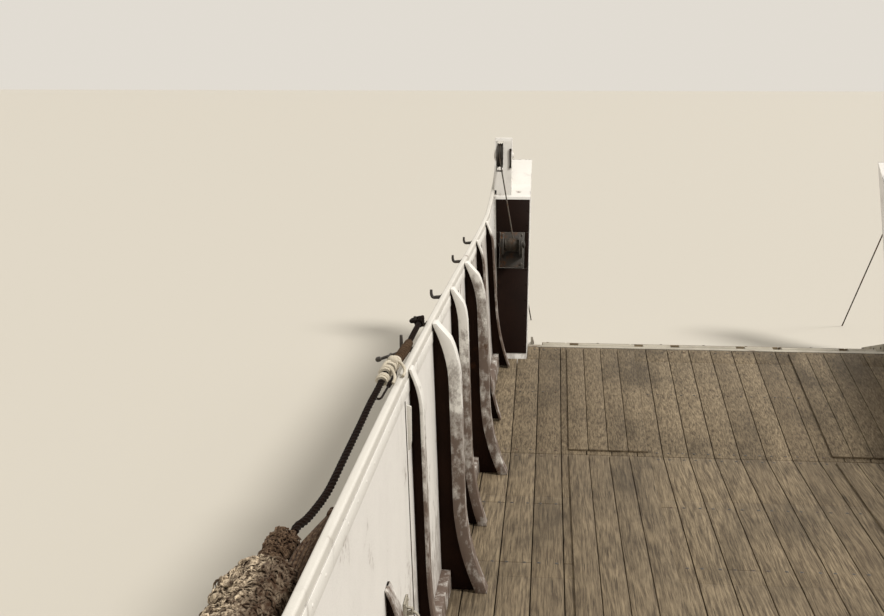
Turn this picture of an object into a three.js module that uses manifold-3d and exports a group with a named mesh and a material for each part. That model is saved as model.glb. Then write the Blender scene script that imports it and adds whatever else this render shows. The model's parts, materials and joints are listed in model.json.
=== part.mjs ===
// A 14 m steel landing craft with a bow ramp, afloat draught about 0.56 m. Millimetres, +Z up.
// +Y points to the bow and +X to starboard. Lengths along the craft are worked out from the
// transom (s = 0) and moved at the end, so that the origin is under the middle of the whole craft.
import * as THREE from "three";
import { mergeVertices } from "three/addons/utils/BufferGeometryUtils.js";
import Module from "manifold-3d";

const wasm = await Module();
wasm.setup();

// Driving dimensions
const GAP = 0.3; // between pieces that rest on each other
const DEG = Math.PI / 180;
const PLATE = 16; // side plating
const WELL_AFT = 5200; // engine room bulkhead
const FLOOR_BREAK = 11300; // the floor starts to rise here
const SILL = 12780; // where the floor ends at the ramp
const FLOOR_LOW = 280; // underside of the floor amidships
const FLOOR_HIGH = 560; // underside of the floor at the sill
const FLOOR_T = 40;
const DECK_Z = 1250; // underside of the stern deck
const DECK_T = 40;
const DECK_TOP = DECK_Z + DECK_T;
const SHEER = 1470; // top of the side plating, level until it rises at the bow
const CAP_T = 30;
const CAP_IN = 17; // the cap rail's inner and outer edge from the plating's outside
const CAP_OUT = 10;
const AFT_WALL = 60; // bulwark of the stern half
const LEDGE = 120; // wall and deck ledge below the stern deck
const CHEEK_DEPTH = 260; // the raked boxes beside the ramp, square to the shut ramp
const CHEEK_FOOT = 12580; // where they meet the floor
const GATE = 1250; // half width of the ramp opening
const HINGE = { s: 12900, z: 560 };
const RAMP_LENGTH = 1750;
const RAMP_T = 45;
const RAMP_HALF = 1230;
const RAMP_DOWN = 16; // degrees below the horizon when lowered
const RAMP_SHUT = 62; // degrees above the horizon when shut
const STERN_END = -60; // the rub rail's aft face
const RAMP_CURB = 60; // how far the ramp's side plates stand above its panel
const RAMP_TIP = HINGE.s + RAMP_LENGTH * Math.cos(RAMP_DOWN * DEG)
  + (RAMP_T / 2 + RAMP_CURB) * Math.sin(RAMP_DOWN * DEG);
const MIDDLE = (RAMP_TIP + STERN_END) / 2;
const SHAFT = { s: 1240, z: 330 };
const RUDDER_S = 550;
const PLAY = 0.4; // between a shaft and its bearing
const TRACK = { x0: 520, x1: 980, thick: 12 }; // wheel tracks on the floor and the ramp

// Frames along each side of the well, from aft, and how each kind is built: how far the curved edge
// stands in from the plating and over what drop, then the facing's thickness and width, the web, the
// extra depth of the knee at the floor, and how far the frame's top lies below the cap's.
const FRAME_COLUMNS = ["s", "kind"];
const FRAMES = [
  [5700, "light"], [6450, "deep"], [7200, "short"], [7950, "short"], [8700, "light"],
  [9450, "deep"], [10200, "middle"], [10950, "deep"], [11700, "light"], [12450, "light"],
];
const FRAME_KINDS = {
  short: { reach: 36, rise: 130, face: 12, wide: 66, web: 10, knee: 60, lower: 480 },
  light: { reach: 36, rise: 130, face: 12, wide: 66, web: 10, knee: 60, lower: 0 },
  middle: { reach: 36, rise: 150, face: 43, wide: 72, web: 12, knee: 60, lower: 0 },
  deep: { reach: 62, rise: 230, face: 50, wide: 80, web: 14, knee: 84, lower: 0 },
};
const KNEE_HEIGHT = 420;
const FRAME_SPLIT = 9075; // the frames' aft and fore lengths meet here

// Hooks outside the cap rail.
const HOOKS = [9460, 10050, 11050, 11700];
const HORN = 9050;

// Materials
const coat = (color, roughness, metalness = 0) =>
  new THREE.MeshStandardMaterial({ color, roughness, metalness });
const HULL_PAINT = coat(0xb9b4a6, 0.6);
const BOTTOM_PAINT = coat(0x5e4038, 0.75);
const DECK_PAINT = coat(0x8d897d, 0.75);
const WOOD = coat(0x8a7357, 0.85);
const DARK_STEEL = coat(0x4a4742, 0.55, 0.6);
const BRONZE = coat(0x8c6f3e, 0.4, 0.9);
const ROPE = coat(0x4d4030, 0.95);

// Half sections of the hull, port and starboard alike. s from the transom; then x and z of the
// middle of the bottom (z only), the lobe's inner side, the keel line, the bilge, the chine and the sheer.
const STATION_COLUMNS = [
  "s", "roofZ", "lobeX", "lobeZ", "keelX", "keelZ", "bilgeX", "bilgeZ", "chineX", "chineZ", "sheerX", "sheerZ",
];
const STATIONS = [
  [0, 780, 330, 782, 620, 786, 800, 800, 960, 860, 985, SHEER],
  [120, 770, 420, 772, 750, 777, 980, 795, 1220, 880, 1265, SHEER],
  [350, 757, 480, 759, 780, 764, 1130, 785, 1400, 880, 1460, SHEER],
  [700, 735, 500, 737, 800, 742, 1230, 765, 1510, 870, 1565, SHEER],
  [1200, 690, 500, 692, 800, 696, 1290, 720, 1550, 830, 1607, SHEER],
  [2000, 560, 500, 562, 800, 566, 1330, 590, 1562, 710, 1612, SHEER],
  [3000, 360, 500, 362, 800, 362, 1345, 385, 1566, 520, 1612, SHEER],
  [4000, 190, 500, 190, 800, 188, 1355, 210, 1570, 360, 1612, SHEER],
  [5200, 90, 500, 88, 800, 82, 1360, 100, 1570, 270, 1612, SHEER],
  [8600, 90, 500, 88, 800, 80, 1360, 100, 1572, 270, 1615, SHEER],
  [9600, 90, 500, 88, 800, 80, 1350, 100, 1560, 270, 1602, SHEER],
  [10600, 140, 430, 122, 820, 78, 1310, 120, 1540, 272, 1586, SHEER],
  [11300, 215, 405, 185, 828, 108, 1285, 168, 1520, 276, 1571, SHEER],
  [12300, 370, 385, 350, 835, 240, 1240, 330, 1490, 464, 1550, 1482],
  [12780, 450, 375, 440, 835, 350, 1205, 440, 1472, 552, 1540, 1500],
  [13100, 450, 375, 440, 835, 350, 1205, 440, 1460, 555, 1528, 1580],
  [13360, 450, 375, 440, 835, 350, 1200, 440, 1448, 557, 1518, 1670],
  [13600, 450, 375, 440, 835, 350, 1195, 440, 1434, 559, 1505, 1830],
  [13800, 450, 375, 440, 835, 350, 1190, 440, 1424, 560, 1498, 1930],
];

// The hull's row at any s, as named values.
function hullAt(s) {
  let i = 0;
  while (i < STATIONS.length - 2 && STATIONS[i + 1][0] < s) i += 1;
  const [a, b] = [STATIONS[i], STATIONS[i + 1]];
  const t = Math.min(Math.max((s - a[0]) / (b[0] - a[0]), 0), 1);
  return Object.fromEntries(STATION_COLUMNS.map((name, k) => [name, a[k] + (b[k] - a[k]) * t]));
}

// Half breadth of the outer side at a height, on the straight line from chine to sheer.
function sideX(s, z) {
  const h = hullAt(s);
  return h.chineX + ((h.sheerX - h.chineX) * (z - h.chineZ)) / (h.sheerZ - h.chineZ);
}

// Underside of the floor at s.
function floorZ(s) {
  const t = (s - FLOOR_BREAK) / (SILL - FLOOR_BREAK);
  return FLOOR_LOW + (FLOOR_HIGH - FLOOR_LOW) * Math.min(Math.max(t, 0), 1);
}

// Stations between two ends: both ends and the table's own stations.
function stationsBetween(from, to) {
  return [from, ...STATIONS.map((row) => row[0]).filter((s) => s > from + 1 && s < to - 1), to];
}

// Solids

// A closed solid for cutting and joining, from any closed geometry, faces turned outwards.
function solid(geometry) {
  const bare = geometry.index ? geometry.toNonIndexed() : geometry.clone();
  bare.deleteAttribute("normal");
  bare.deleteAttribute("uv");
  const merged = mergeVertices(bare, 1e-3);
  const points = merged.attributes.position.array;
  const faces = new Uint32Array(merged.index.array);
  let volume = 0;
  const corner = (k) => new THREE.Vector3().fromArray(points, faces[k] * 3);
  for (let i = 0; i < faces.length; i += 3) volume += corner(i).dot(corner(i + 1).cross(corner(i + 2)));
  if (volume < 0) for (let i = 0; i < faces.length; i += 3) [faces[i + 1], faces[i + 2]] = [faces[i + 2], faces[i + 1]];
  return new wasm.Manifold(new wasm.Mesh({ numProp: 3, vertProperties: points, triVerts: faces }));
}

function toGeometry(made) {
  const mesh = made.getMesh();
  const geometry = new THREE.BufferGeometry();
  geometry.setAttribute("position", new THREE.BufferAttribute(mesh.vertProperties.slice(), 3));
  geometry.setIndex(new THREE.BufferAttribute(mesh.triVerts.slice(), 1));
  return geometry;
}

const join = (...solids) => solids.flat().reduce((a, b) => a.add(b));
const cut = (whole, ...tools) => tools.flat().reduce((a, b) => a.subtract(b), whole);

function box(x0, x1, y0, y1, z0, z1) {
  const geometry = new THREE.BoxGeometry(x1 - x0, y1 - y0, z1 - z0);
  return solid(geometry.translate((x0 + x1) / 2, (y0 + y1) / 2, (z0 + z1) / 2));
}

// A box given from one side of the middle line, on both sides.
const boxPair = (x0, x1, ...rest) => [box(x0, x1, ...rest), box(-x1, -x0, ...rest)];

// A round bar between two points. A corner, not a flat, lies at the radius.
function rod(from, to, radius, sides = 16, endRadius = radius) {
  const [a, b] = [new THREE.Vector3(...from), new THREE.Vector3(...to)];
  const along = b.clone().sub(a);
  const geometry = new THREE.CylinderGeometry(endRadius, radius, along.length(), sides);
  const turn = new THREE.Quaternion().setFromUnitVectors(new THREE.Vector3(0, 1, 0), along.clone().normalize());
  return solid(geometry.applyQuaternion(turn).translate(...a.add(b).multiplyScalar(0.5).toArray()));
}

function prism(outline, depth, holes = []) {
  const shape = new THREE.Shape(outline.map(([u, v]) => new THREE.Vector2(u, v)));
  shape.holes = holes.map((hole) => new THREE.Path(hole.map(([u, v]) => new THREE.Vector2(u, v))));
  return new THREE.ExtrudeGeometry(shape, { depth, bevelEnabled: false });
}

// Outlines given as [y, z], [x, z] and [x, y], made into plates across x, y and z.
function plateX(outline, x0, x1, holes) {
  const axes = new THREE.Matrix4().makeBasis(
    new THREE.Vector3(0, 1, 0), new THREE.Vector3(0, 0, 1), new THREE.Vector3(1, 0, 0));
  return solid(prism(outline, x1 - x0, holes).applyMatrix4(axes).translate(x0, 0, 0));
}
function plateY(outline, y0, y1, holes) {
  const axes = new THREE.Matrix4().makeBasis(
    new THREE.Vector3(1, 0, 0), new THREE.Vector3(0, 0, 1), new THREE.Vector3(0, -1, 0));
  return solid(prism(outline, y1 - y0, holes).applyMatrix4(axes).translate(0, y1, 0));
}
const plateZ = (outline, z0, z1, holes) => solid(prism(outline, z1 - z0, holes).translate(0, 0, z0));

const circle = (u, v, radius, sides = 16) =>
  Array.from({ length: sides }, (_, i) => {
    const a = (2 * Math.PI * i) / sides;
    return [u + radius * Math.cos(a), v + radius * Math.sin(a)];
  });
const rectangle = (u0, u1, v0, v1) => [[u0, v0], [u1, v0], [u1, v1], [u0, v1]];

// A solid through cross-sections, each an outline of [x, z] at its own s.
function loft(stations, outlineAt) {
  const outlines = stations.map((s) => outlineAt(s));
  const count = outlines[0].length;
  const points = outlines.flatMap((outline, i) => outline.flatMap(([x, z]) => [x, stations[i], z]));
  const faces = [];
  for (let i = 0; i < stations.length - 1; i += 1) {
    for (let k = 0; k < count; k += 1) {
      const [a, b] = [i * count + k, i * count + ((k + 1) % count)];
      // Port and starboard faces are split alike, so that mirrored pieces still fit them.
      const port = outlines[i][k][0] + outlines[i][(k + 1) % count][0] < 0;
      if (port) faces.push(a, b, a + count, b, b + count, a + count);
      else faces.push(a, b, b + count, a, b + count, a + count);
    }
  }
  const cap = (i) => THREE.ShapeUtils.triangulateShape(outlines[i].map(([x, z]) => new THREE.Vector2(x, z)), [])
    .map((face) => face.map((k) => k + i * count));
  // The cap has to turn the other way from the sides' shared edges.
  const turned = THREE.ShapeUtils.isClockWise(outlines[0].map(([x, z]) => new THREE.Vector2(x, z)));
  const last = stations.length - 1;
  for (const [a, b, c] of cap(0)) faces.push(...(turned ? [a, b, c] : [a, c, b]));
  for (const [a, b, c] of cap(last)) faces.push(...(turned ? [a, c, b] : [a, b, c]));
  const geometry = new THREE.BufferGeometry();
  geometry.setAttribute("position", new THREE.Float32BufferAttribute(points, 3));
  geometry.setIndex(faces);
  return solid(geometry);
}

// Radius at the corners of a bearing that clears a round shaft by PLAY.
const bearing = (radius, sides = 16) => (radius + PLAY) / Math.cos(Math.PI / sides);

// The plan outline of the sheer round the stern, from starboard to port, moved outwards by `out`.
function sternOutline(out, to = 700, height = SHEER) {
  const half = [0, 120, 350, 700, 1200].filter((s) => s <= to).map((s) => [sideX(s, height), s]);
  const run = [...half.slice().reverse(), ...half.map(([x, s]) => [-x, s])];
  return run.map(([x, s], i) => {
    const [before, after] = [run[Math.max(i - 1, 0)], run[Math.min(i + 1, run.length - 1)]];
    const [dx, ds] = [after[0] - before[0], after[1] - before[1]];
    const length = Math.hypot(dx, ds);
    const open = i === 0 || i === run.length - 1;
    return open ? [x + Math.sign(x) * out, s] : [x - (out * ds) / length, s + (out * dx) / length];
  });
}

// Nodes

const craft = new THREE.Group();

function add(name, made, material, parent = craft) {
  const mesh = new THREE.Mesh(toGeometry(made), material);
  mesh.name = name;
  parent.add(mesh);
  return mesh;
}

// The starboard piece and its mirror image to port.
function addPair(name, made, material) {
  add(`${name}_starboard`, made, material);
  add(`${name}_port`, made, material).scale.x = -1;
}

// What lies ahead of a plane that leans like the shut ramp, `off` in front of the hinge line.
function aheadOfRake(off) {
  const tool = new THREE.BoxGeometry(4000, 3000, 6000).translate(0, 1500 + off, 0);
  tool.rotateX((RAMP_SHUT - 90) * DEG);
  return solid(tool.translate(0, HINGE.s, HINGE.z));
}

// Ahead of the bow's raked edge, which is the shut ramp's outer side.
const aheadOfBow = (clear = 0) => aheadOfRake(RAMP_T / 2 + clear);

// Outline of the hull's bottom at s from the starboard edge across to port, raised by `up`.
function bottomLine(s, up = 0, inset = 0) {
  const h = hullAt(s);
  const half = [
    [h.chineX - inset, h.chineZ + up], [h.bilgeX - inset, h.bilgeZ + up],
    [h.keelX, h.keelZ + up], [h.lobeX, h.lobeZ + up],
  ];
  return [...half, [0, h.roofZ + up], ...half.map(([x, z]) => [-x, z]).reverse()];
}

// The hull from s to s as one solid, grown outwards.
const hullBody = (from, to, grow = 0) => loft([from - grow, ...stationsBetween(from, to).slice(1)], (s) => {
  const h = hullAt(s);
  return [[h.sheerX + grow, h.sheerZ], ...bottomLine(s, -grow, -grow), [-h.sheerX - grow, h.sheerZ]];
});

// A strip along the starboard side from chine to sheer, between two distances out from the side.
const sideStrip = (from, to, inner, outer) => loft(stationsBetween(from, to), (s) => {
  const h = hullAt(s);
  return [
    [h.sheerX + inner, h.sheerZ], [h.sheerX + outer, h.sheerZ],
    [h.chineX + outer, h.chineZ], [h.chineX + inner, h.chineZ],
  ];
});

// Everything below the floor's underside, raised by `up`.
const belowFloor = (up) => loft(stationsBetween(WELL_AFT, 13800), (s) => [
  [2000, -200], [2000, floorZ(s) + up], [-2000, floorZ(s) + up], [-2000, -200],
]);

// The place of the cap rail and what lies outboard of it, down to `low` from the sheer and in to
// `inset` from the plating's outside.
const outboardOfCap = (low, inset = CAP_IN + 0.5) => loft(stationsBetween(WELL_AFT, 13800), (s) => {
  const { sheerX, sheerZ } = hullAt(s);
  const [inner, top] = [sheerX - inset, sheerZ + CAP_T + 0.5];
  return [[inner, sheerZ + low], [sheerX + 300, sheerZ + low], [sheerX + 300, top], [inner, top]];
});

// Hull shell
function addHull() {
  const outer = (grow) => hullBody(0, WELL_AFT, grow);
  const hold = loft([...stationsBetween(LEDGE, WELL_AFT), WELL_AFT + 100], (s) => [
    [sideX(s, DECK_Z) - LEDGE, DECK_Z - 1], ...bottomLine(s, 80, LEDGE), [LEDGE - sideX(s, DECK_Z), DECK_Z - 1],
  ]);
  const above = loft([...stationsBetween(AFT_WALL, WELL_AFT), WELL_AFT + 100], (s) => {
    const [low, high, top] = [sideX(s, DECK_Z) - AFT_WALL, sideX(s, SHEER) - AFT_WALL, SHEER + 10];
    return [[high, top], [low, DECK_Z], [low - 30, DECK_Z - 2], [30 - low, DECK_Z - 2], [-low, DECK_Z], [-high, top]];
  });
  const trunk = rod([0, RUDDER_S, 600], [0, RUDDER_S, 1000], 36);
  add("hull_aft", cut(outer(0), hold, above, trunk), HULL_PAINT);

  const bottom = loft(stationsBetween(WELL_AFT + GAP, SILL), (s) => {
    const top = floorZ(s);
    return [[sideX(s, top), top], ...bottomLine(s), [-sideX(s, top), top]];
  });
  add("hull_bottom", bottom, BOTTOM_PAINT);

  const side = sideStrip(WELL_AFT + GAP, 13800, -PLATE, 0);
  addPair("side_plating", cut(side, belowFloor(GAP), aheadOfBow()), HULL_PAINT);

  // Raked boxes beside the ramp opening, with the posts that carry the ramp wires' sheaves.
  const cheek = loft(stationsBetween(CHEEK_FOOT - 200, 13800), (s) => {
    const { chineX: x, chineZ: z, sheerX, sheerZ } = hullAt(s);
    const inside = PLATE + 0.4;
    return [[GATE, z], [x - inside, z], [sheerX - inside, sheerZ], [GATE, sheerZ]];
  }).intersect(aheadOfRake(-CHEEK_DEPTH));
  const p = { s: 13330, in: 1389, out: 1512, low: 1590, slot: 1770, high: 1985 };
  const post = cut(
    plateX([
      [p.s - 150, p.low], [p.s + 110, p.low], [p.s + 45, p.high], [p.s + 35, p.high + 20],
      [p.s - 35, p.high + 20], [p.s - 45, p.high],
    ], p.in, p.out),
    box(1452, 1500, 13000, 13600, p.slot, p.high),
    outboardOfCap(-400, 30.5),
  );
  const sheave = join(
    rod([1458, p.s, 1880], [1494, p.s, 1880], 80, 20),
    rod([p.in - 12, p.s, 1880], [p.out + 8, p.s, 1880], 16, 8),
  );
  addPair("bow_cheek", join(cut(cheek, belowFloor(GAP), aheadOfBow()), post, sheave), HULL_PAINT);

  // Keel bars that the craft grounds on, under the two lobes.
  const shoe = plateX([
    [5000, 0], [10500, 0], [11300, 40], [12300, 170], [12760, 280],
    [12760, 420], [11300, 230], [9600, 180], [5000, 180], [4860, 60],
  ], 775, 865);
  const underBody = loft(stationsBetween(0, SILL), (s) => {
    const { chineX: x, chineZ: z } = hullAt(s);
    return [[x, z + 150], ...bottomLine(s, -GAP), [-x, z + 150]];
  });
  addPair("keel_shoe", cut(shoe, underBody), DARK_STEEL);

  // Central skeg with the stern tube and the bar that carries the rudder's heel.
  const fin = plateX([
    [1480, 0], [5100, 0], [5150, 60], [5150, 180], [4000, 280], [3000, 450], [2000, 640], [1480, 720],
  ], -40, 40);
  const heel = plateX([[330, 10], [360, 0], [1700, 0], [1700, 45], [330, 45]], -55, 55);
  const tube = rod([0, 1400, SHAFT.z], [0, 2300, SHAFT.z], 75);
  const bore = rod([0, 1300, SHAFT.z], [0, 1720, SHAFT.z], bearing(30));
  const pintleHole = rod([0, RUDDER_S, -10], [0, RUDDER_S, 60], bearing(20));
  add("skeg", cut(join(fin, heel, tube), underBody, bore, pintleHole), DARK_STEEL);

  addRails();
}

// Cap on the gunwale and the rub rail, round the stern and along both sides.
function addRails() {
  const cap = loft(stationsBetween(700 + GAP, 13800), (s) => {
    const { sheerX: x, sheerZ: z } = hullAt(s);
    const [inner, outer, low, high] = [x - CAP_IN, x + CAP_OUT, z + GAP, z + CAP_T];
    return [
      [inner, low], [outer - 5, low], [outer, low + 7], [outer, high - 8], [outer - 7, high],
      [inner + 6, high], [inner, high - 7],
    ];
  });
  // Hooks outside the cap, and the horned one that the fender's rope is led over.
  const hooks = HOOKS.flatMap((s) => {
    const { sheerX: x, sheerZ: z } = hullAt(s);
    return [box(x + 5, x + 40, s - 12, s + 12, z + 3, z + 24), box(x + 52, x + 62, s - 12, s + 12, z + 3, z + 48),
      box(x + 30, x + 62, s - 12, s + 12, z + 3, z + 13)];
  });
  const { sheerX: hx, sheerZ: hz } = hullAt(HORN);
  const horn = [
    rod([hx - 2, HORN, hz + 14], [hx + 148, HORN, hz - 36], 8, 10),
    rod([hx + 136, HORN, hz - 32], [hx + 158, HORN, hz - 39], 13, 10),
    rod([hx + 58, HORN, hz - 8], [hx + 60, HORN, hz + 62], 7, 8),
    rod([hx + 104, HORN - 36, hz - 22], [hx + 104, HORN + 36, hz - 22], 7, 8),
  ];
  addPair("gunwale_cap", join(cut(cap, aheadOfBow()), hooks, horn), HULL_PAINT);

  const [low0, high0] = [SHEER + GAP, SHEER + CAP_T];
  const ring = plateZ([...sternOutline(CAP_OUT), ...sternOutline(-CAP_IN).reverse()], low0, high0);
  const rollers = [
    box(560, 580, -20, 70, high0 - 8, high0 + 82), box(740, 760, -20, 70, high0 - 8, high0 + 82),
    rod([575, 25, high0 + 42], [745, 25, high0 + 42], 28, 12),
  ];
  add("gunwale_cap_stern", join(ring, rollers), HULL_PAINT);

  const [low, high] = [1120, 1210];
  const rail = loft(stationsBetween(700 + GAP, 13420), (s) => {
    const [foot, head] = [sideX(s, low), sideX(s, high)];
    return [
      [foot - 10, low], [foot + 42, low], [head + 60, low + 25],
      [head + 60, high - 25], [head + 42, high], [head - 10, high],
    ];
  });
  addPair("rub_rail", cut(rail, hullBody(0, 13800, GAP), aheadOfBow(10)), DARK_STEEL);
  const sternRail = plateZ([...sternOutline(60, 700, high), ...sternOutline(-60, 700, high).reverse()], low, high);
  add("rub_rail_stern", cut(sternRail, hullBody(0, WELL_AFT, GAP)), DARK_STEEL);
}

// Frames along each side of the well, with two stringers.

// How far a frame's curved edge stands in from the plating, at a depth below the frame's top.
function frameDepth(kind, drop, height) {
  const t = Math.min(Math.max((drop - 25) / kind.rise, 0), 1);
  const u = Math.max((drop - height + KNEE_HEIGHT) / KNEE_HEIGHT, 0);
  return kind.reach * (1 - (1 - t) ** 2) + kind.knee * u ** 2;
}

function frame(s, kind) {
  const half = kind.wide / 2;
  const top = hullAt(s).sheerZ + CAP_T - 2 - kind.lower;
  const foot = floorZ(s + half) + FLOOR_T + 0.5;
  const height = top - foot;
  const outside = (z) => sideX(s, z) - PLATE;
  const knee = height - KNEE_HEIGHT;
  const drops = [
    ...[0, 25, 60, 110, 180, 260, 350, 475].filter((drop) => drop < knee - 5),
    knee, height - 260, height - 120, height,
  ];
  const inner = drops.map((drop) => [outside(top - drop) - frameDepth(kind, drop, height), top - drop]);
  const web = plateY([[outside(foot) + 20, foot], [outside(top) + 20, top], ...inner], s - kind.web / 2, s + kind.web / 2);
  const facing = plateY([...inner, ...inner.map(([x, z]) => [x - kind.face, z]).reverse()], s - half, s + half);
  return join(web, facing);
}

function addFrames() {
  const outboard = sideStrip(WELL_AFT, 13800, -PLATE - GAP, 300);
  for (const [name, from, to] of [["aft", WELL_AFT + 50, FRAME_SPLIT - 1], ["fore", FRAME_SPLIT + 1, 13300]]) {
    const frames = FRAMES.map((row) => Object.fromEntries(FRAME_COLUMNS.map((column, k) => [column, row[k]])))
      .filter(({ s }) => s > from && s < to)
      .map(({ s, kind }) => frame(s, FRAME_KINDS[kind]));
    const stringer = (thick, lowAt, highAt) => loft(stationsBetween(from, to), (s) => {
      const [low, high] = [lowAt(s), highAt(s)];
      const [foot, head] = [sideX(s, low) - PLATE, sideX(s, high) - PLATE];
      return [[foot + 10, low], [head + 10, high], [head - thick, high], [foot - thick, low]];
    });
    const topStringer = stringer(10, (s) => hullAt(s).sheerZ - 54, (s) => hullAt(s).sheerZ - 4);
    const footStringer = stringer(40, (s) => floorZ(s) + FLOOR_T + 0.5, (s) => floorZ(s) + FLOOR_T + 90);
    const whole = join(frames, topStringer, footStringer);
    const cutters = [outboard, outboardOfCap(-0.5), aheadOfRake(-CHEEK_DEPTH - GAP)];
    addPair(`side_frames_${name}`, cut(whole, cutters), HULL_PAINT);
  }
}

// Floor, sill and hinge line
function addWell() {
  const inside = PLATE + 1;
  const flat = loft([WELL_AFT + 41, 9600, 10600, FLOOR_BREAK], (s) => {
    const half = sideX(s, FLOOR_LOW) - inside;
    return [[half, FLOOR_LOW + GAP], [half, FLOOR_LOW + FLOOR_T], [-half, FLOOR_LOW + FLOOR_T], [-half, FLOOR_LOW + GAP]];
  });
  const over = FLOOR_LOW + FLOOR_T;
  add("well_floor", join(flat, boxPair(TRACK.x0, TRACK.x1, 5700, FLOOR_BREAK - 40, over - 2, over + TRACK.thick)), WOOD);
  const slope = (from, to, inner, outerAt, low, high) => loft([from, to], (s) => {
    const [outer, z] = [outerAt(s), floorZ(s)];
    return [[outer, z + low], [outer, z + high], [inner(outer), z + high], [inner(outer), z + low]];
  });
  const across = (outer) => -outer;
  const track = slope(FLOOR_BREAK + 40, SILL - 20, () => TRACK.x0, () => TRACK.x1, FLOOR_T - 2, FLOOR_T + TRACK.thick);
  add("bow_floor", join(
    slope(FLOOR_BREAK + GAP, CHEEK_FOOT - 1, across, (s) => sideX(s, floorZ(s)) - inside, GAP, FLOOR_T),
    slope(CHEEK_FOOT - 2, SILL - 0.5, across, () => GATE - 1, GAP, FLOOR_T),
    track,
    track.mirror([1, 0, 0]),
  ), WOOD);

  // The sill beam with its hinge knuckles, and the pin.
  const knuckles = [[255, 445], [955, 1145]];
  const beam = box(-GATE + 1, GATE - 1, SILL + GAP, HINGE.s - 60, 452, 600);
  const barrels = knuckles.flatMap(([x0, x1]) => [
    ...boxPair(x0, x1, HINGE.s - 70, HINGE.s, 526, 594),
    rod([x0, HINGE.s, HINGE.z], [x1, HINGE.s, HINGE.z], 40),
    rod([-x1, HINGE.s, HINGE.z], [-x0, HINGE.s, HINGE.z], 40),
  ]);
  const pinHole = rod([-1300, HINGE.s, HINGE.z], [1300, HINGE.s, HINGE.z], 18.4);
  add("bow_sill", cut(join(beam, barrels), pinHole), HULL_PAINT);
  add("ramp_hinge_pin", rod([-1170, HINGE.s, HINGE.z], [1170, HINGE.s, HINGE.z], 18), DARK_STEEL);

  // Bulkhead of the engine room with its stiffeners, the ladder on it and the step below it.
  const wide = (z) => sideX(WELL_AFT + 20, z) - inside;
  const [low, high] = [FLOOR_LOW + GAP, DECK_TOP];
  const wall = plateY([[wide(low), low], [wide(high), high], [-wide(high), high], [-wide(low), low]],
    WELL_AFT + GAP, WELL_AFT + 30);
  const ribs = [-1050, -350, 350, 1050].map((x) => box(x - 20, x + 20, WELL_AFT + 20, WELL_AFT + 40, 330, high - 40));
  const body = hullAt(WELL_AFT);
  add("engine_bulkhead", cut(join(wall, ribs), box(-2000, 2000, WELL_AFT, WELL_AFT + 400, 0, body.chineZ)), HULL_PAINT);
  const ladder = { x0: -912, x1: -488, aft: WELL_AFT + 30 + GAP, fore: WELL_AFT + 150, low: 660, high: 1270 };
  const sides = [ladder.x0, ladder.x1 - 20].flatMap((x) => [
    box(x, x + 20, ladder.fore - 35, ladder.fore, ladder.low, ladder.high),
    box(x, x + 20, ladder.aft, ladder.fore - 30, ladder.low, ladder.low + 40),
    box(x, x + 20, ladder.aft, ladder.fore - 30, ladder.high - 40, ladder.high),
  ]);
  const rungs = [740, 950, 1160].map((z) =>
    rod([ladder.x0 + 10, ladder.fore - 17, z], [ladder.x1 - 10, ladder.fore - 17, z], 14, 8));
  add("well_ladder", join(sides, rungs), HULL_PAINT);
  add("boarding_step", cut(
    box(-650, 650, WELL_AFT + 42, WELL_AFT + 420, FLOOR_LOW + FLOOR_T + GAP, 620),
    box(-600, 600, WELL_AFT + 90, WELL_AFT + 500, 360, 580),
  ), WOOD);
}

// Stern deck, with the openings of the helmsman's cockpit and the engine hatch.
const COCKPIT = { x: 520, aft: 1150, fore: 2150, floor: 850 };
const HATCH = { x: 640, aft: 2540, fore: 4860, wall: 60, top: 1440 };

function addSternDeck() {
  const inner = (s) => sideX(s, DECK_Z) - AFT_WALL - 0.5;
  const half = stationsBetween(AFT_WALL + 1.5, WELL_AFT - 1).map((s) => [inner(s), s]);
  const outline = [...half.map(([x, s]) => [-x, s]).reverse(), ...half];
  const holes = [
    rectangle(-COCKPIT.x, COCKPIT.x, COCKPIT.aft, COCKPIT.fore),
    rectangle(-HATCH.x, HATCH.x, HATCH.aft, HATCH.fore),
    circle(0, RUDDER_S, 36),
  ];
  // The low seat on the port side takes a deck locker.
  const seat = box(-1400, -960, 3950, 4450, DECK_TOP - 5, DECK_TOP + 15);
  add("stern_deck", join(plateZ(outline, DECK_Z + GAP, DECK_TOP, holes), seat), DECK_PAINT);

  const c = COCKPIT;
  const tub = cut(
    join(
      box(-c.x + 1, c.x - 1, c.aft + 1, c.fore - 1, c.floor - 20, DECK_TOP + 10),
      box(-c.x - 40, c.x + 40, c.aft - 40, c.fore + 40, DECK_TOP + GAP, DECK_TOP + 25),
    ),
    box(-c.x + 20, c.x - 20, c.aft + 20, c.fore - 20, c.floor, DECK_TOP + 100),
  );
  add("helm_cockpit", tub, DECK_PAINT);

  const h = HATCH;
  const casing = cut(
    box(-h.x - h.wall, h.x + h.wall, h.aft - h.wall, h.fore + h.wall, DECK_TOP + GAP, h.top),
    box(-h.x, h.x, h.aft, h.fore, DECK_TOP - 10, h.top + 10),
  );
  add("engine_casing", casing, DECK_PAINT);
}

// Engine on its bearers, below the hatch
function addEngine() {
  const under = (s) => hullAt(s).roofZ + 81.5;
  const bearer = (x0, x1) => plateX([
    [2950, under(2950) + 2], [3000, under(3000)], [4000, under(4000)], [4600, under(4600)], [4600, 540], [2950, 540],
  ], x0, x1);
  const block = box(-300, 300, 3000, 4500, 520, 1000);
  const heads = [0, 1, 2, 3, 4, 5].map((i) => box(-150, 150, 3060 + i * 235, 3260 + i * 235, 990, 1110));
  const gearbox = box(-190, 190, 2700, 3010, 560, 860);
  add("engine_block", join(bearer(-290, -210), bearer(210, 290), block, heads, gearbox), DARK_STEEL);
}

// Helm: pedestal, wheel and shield
const WHEEL = { s: 2095, z: 1650, rim: 260, grip: 335 };

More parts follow.
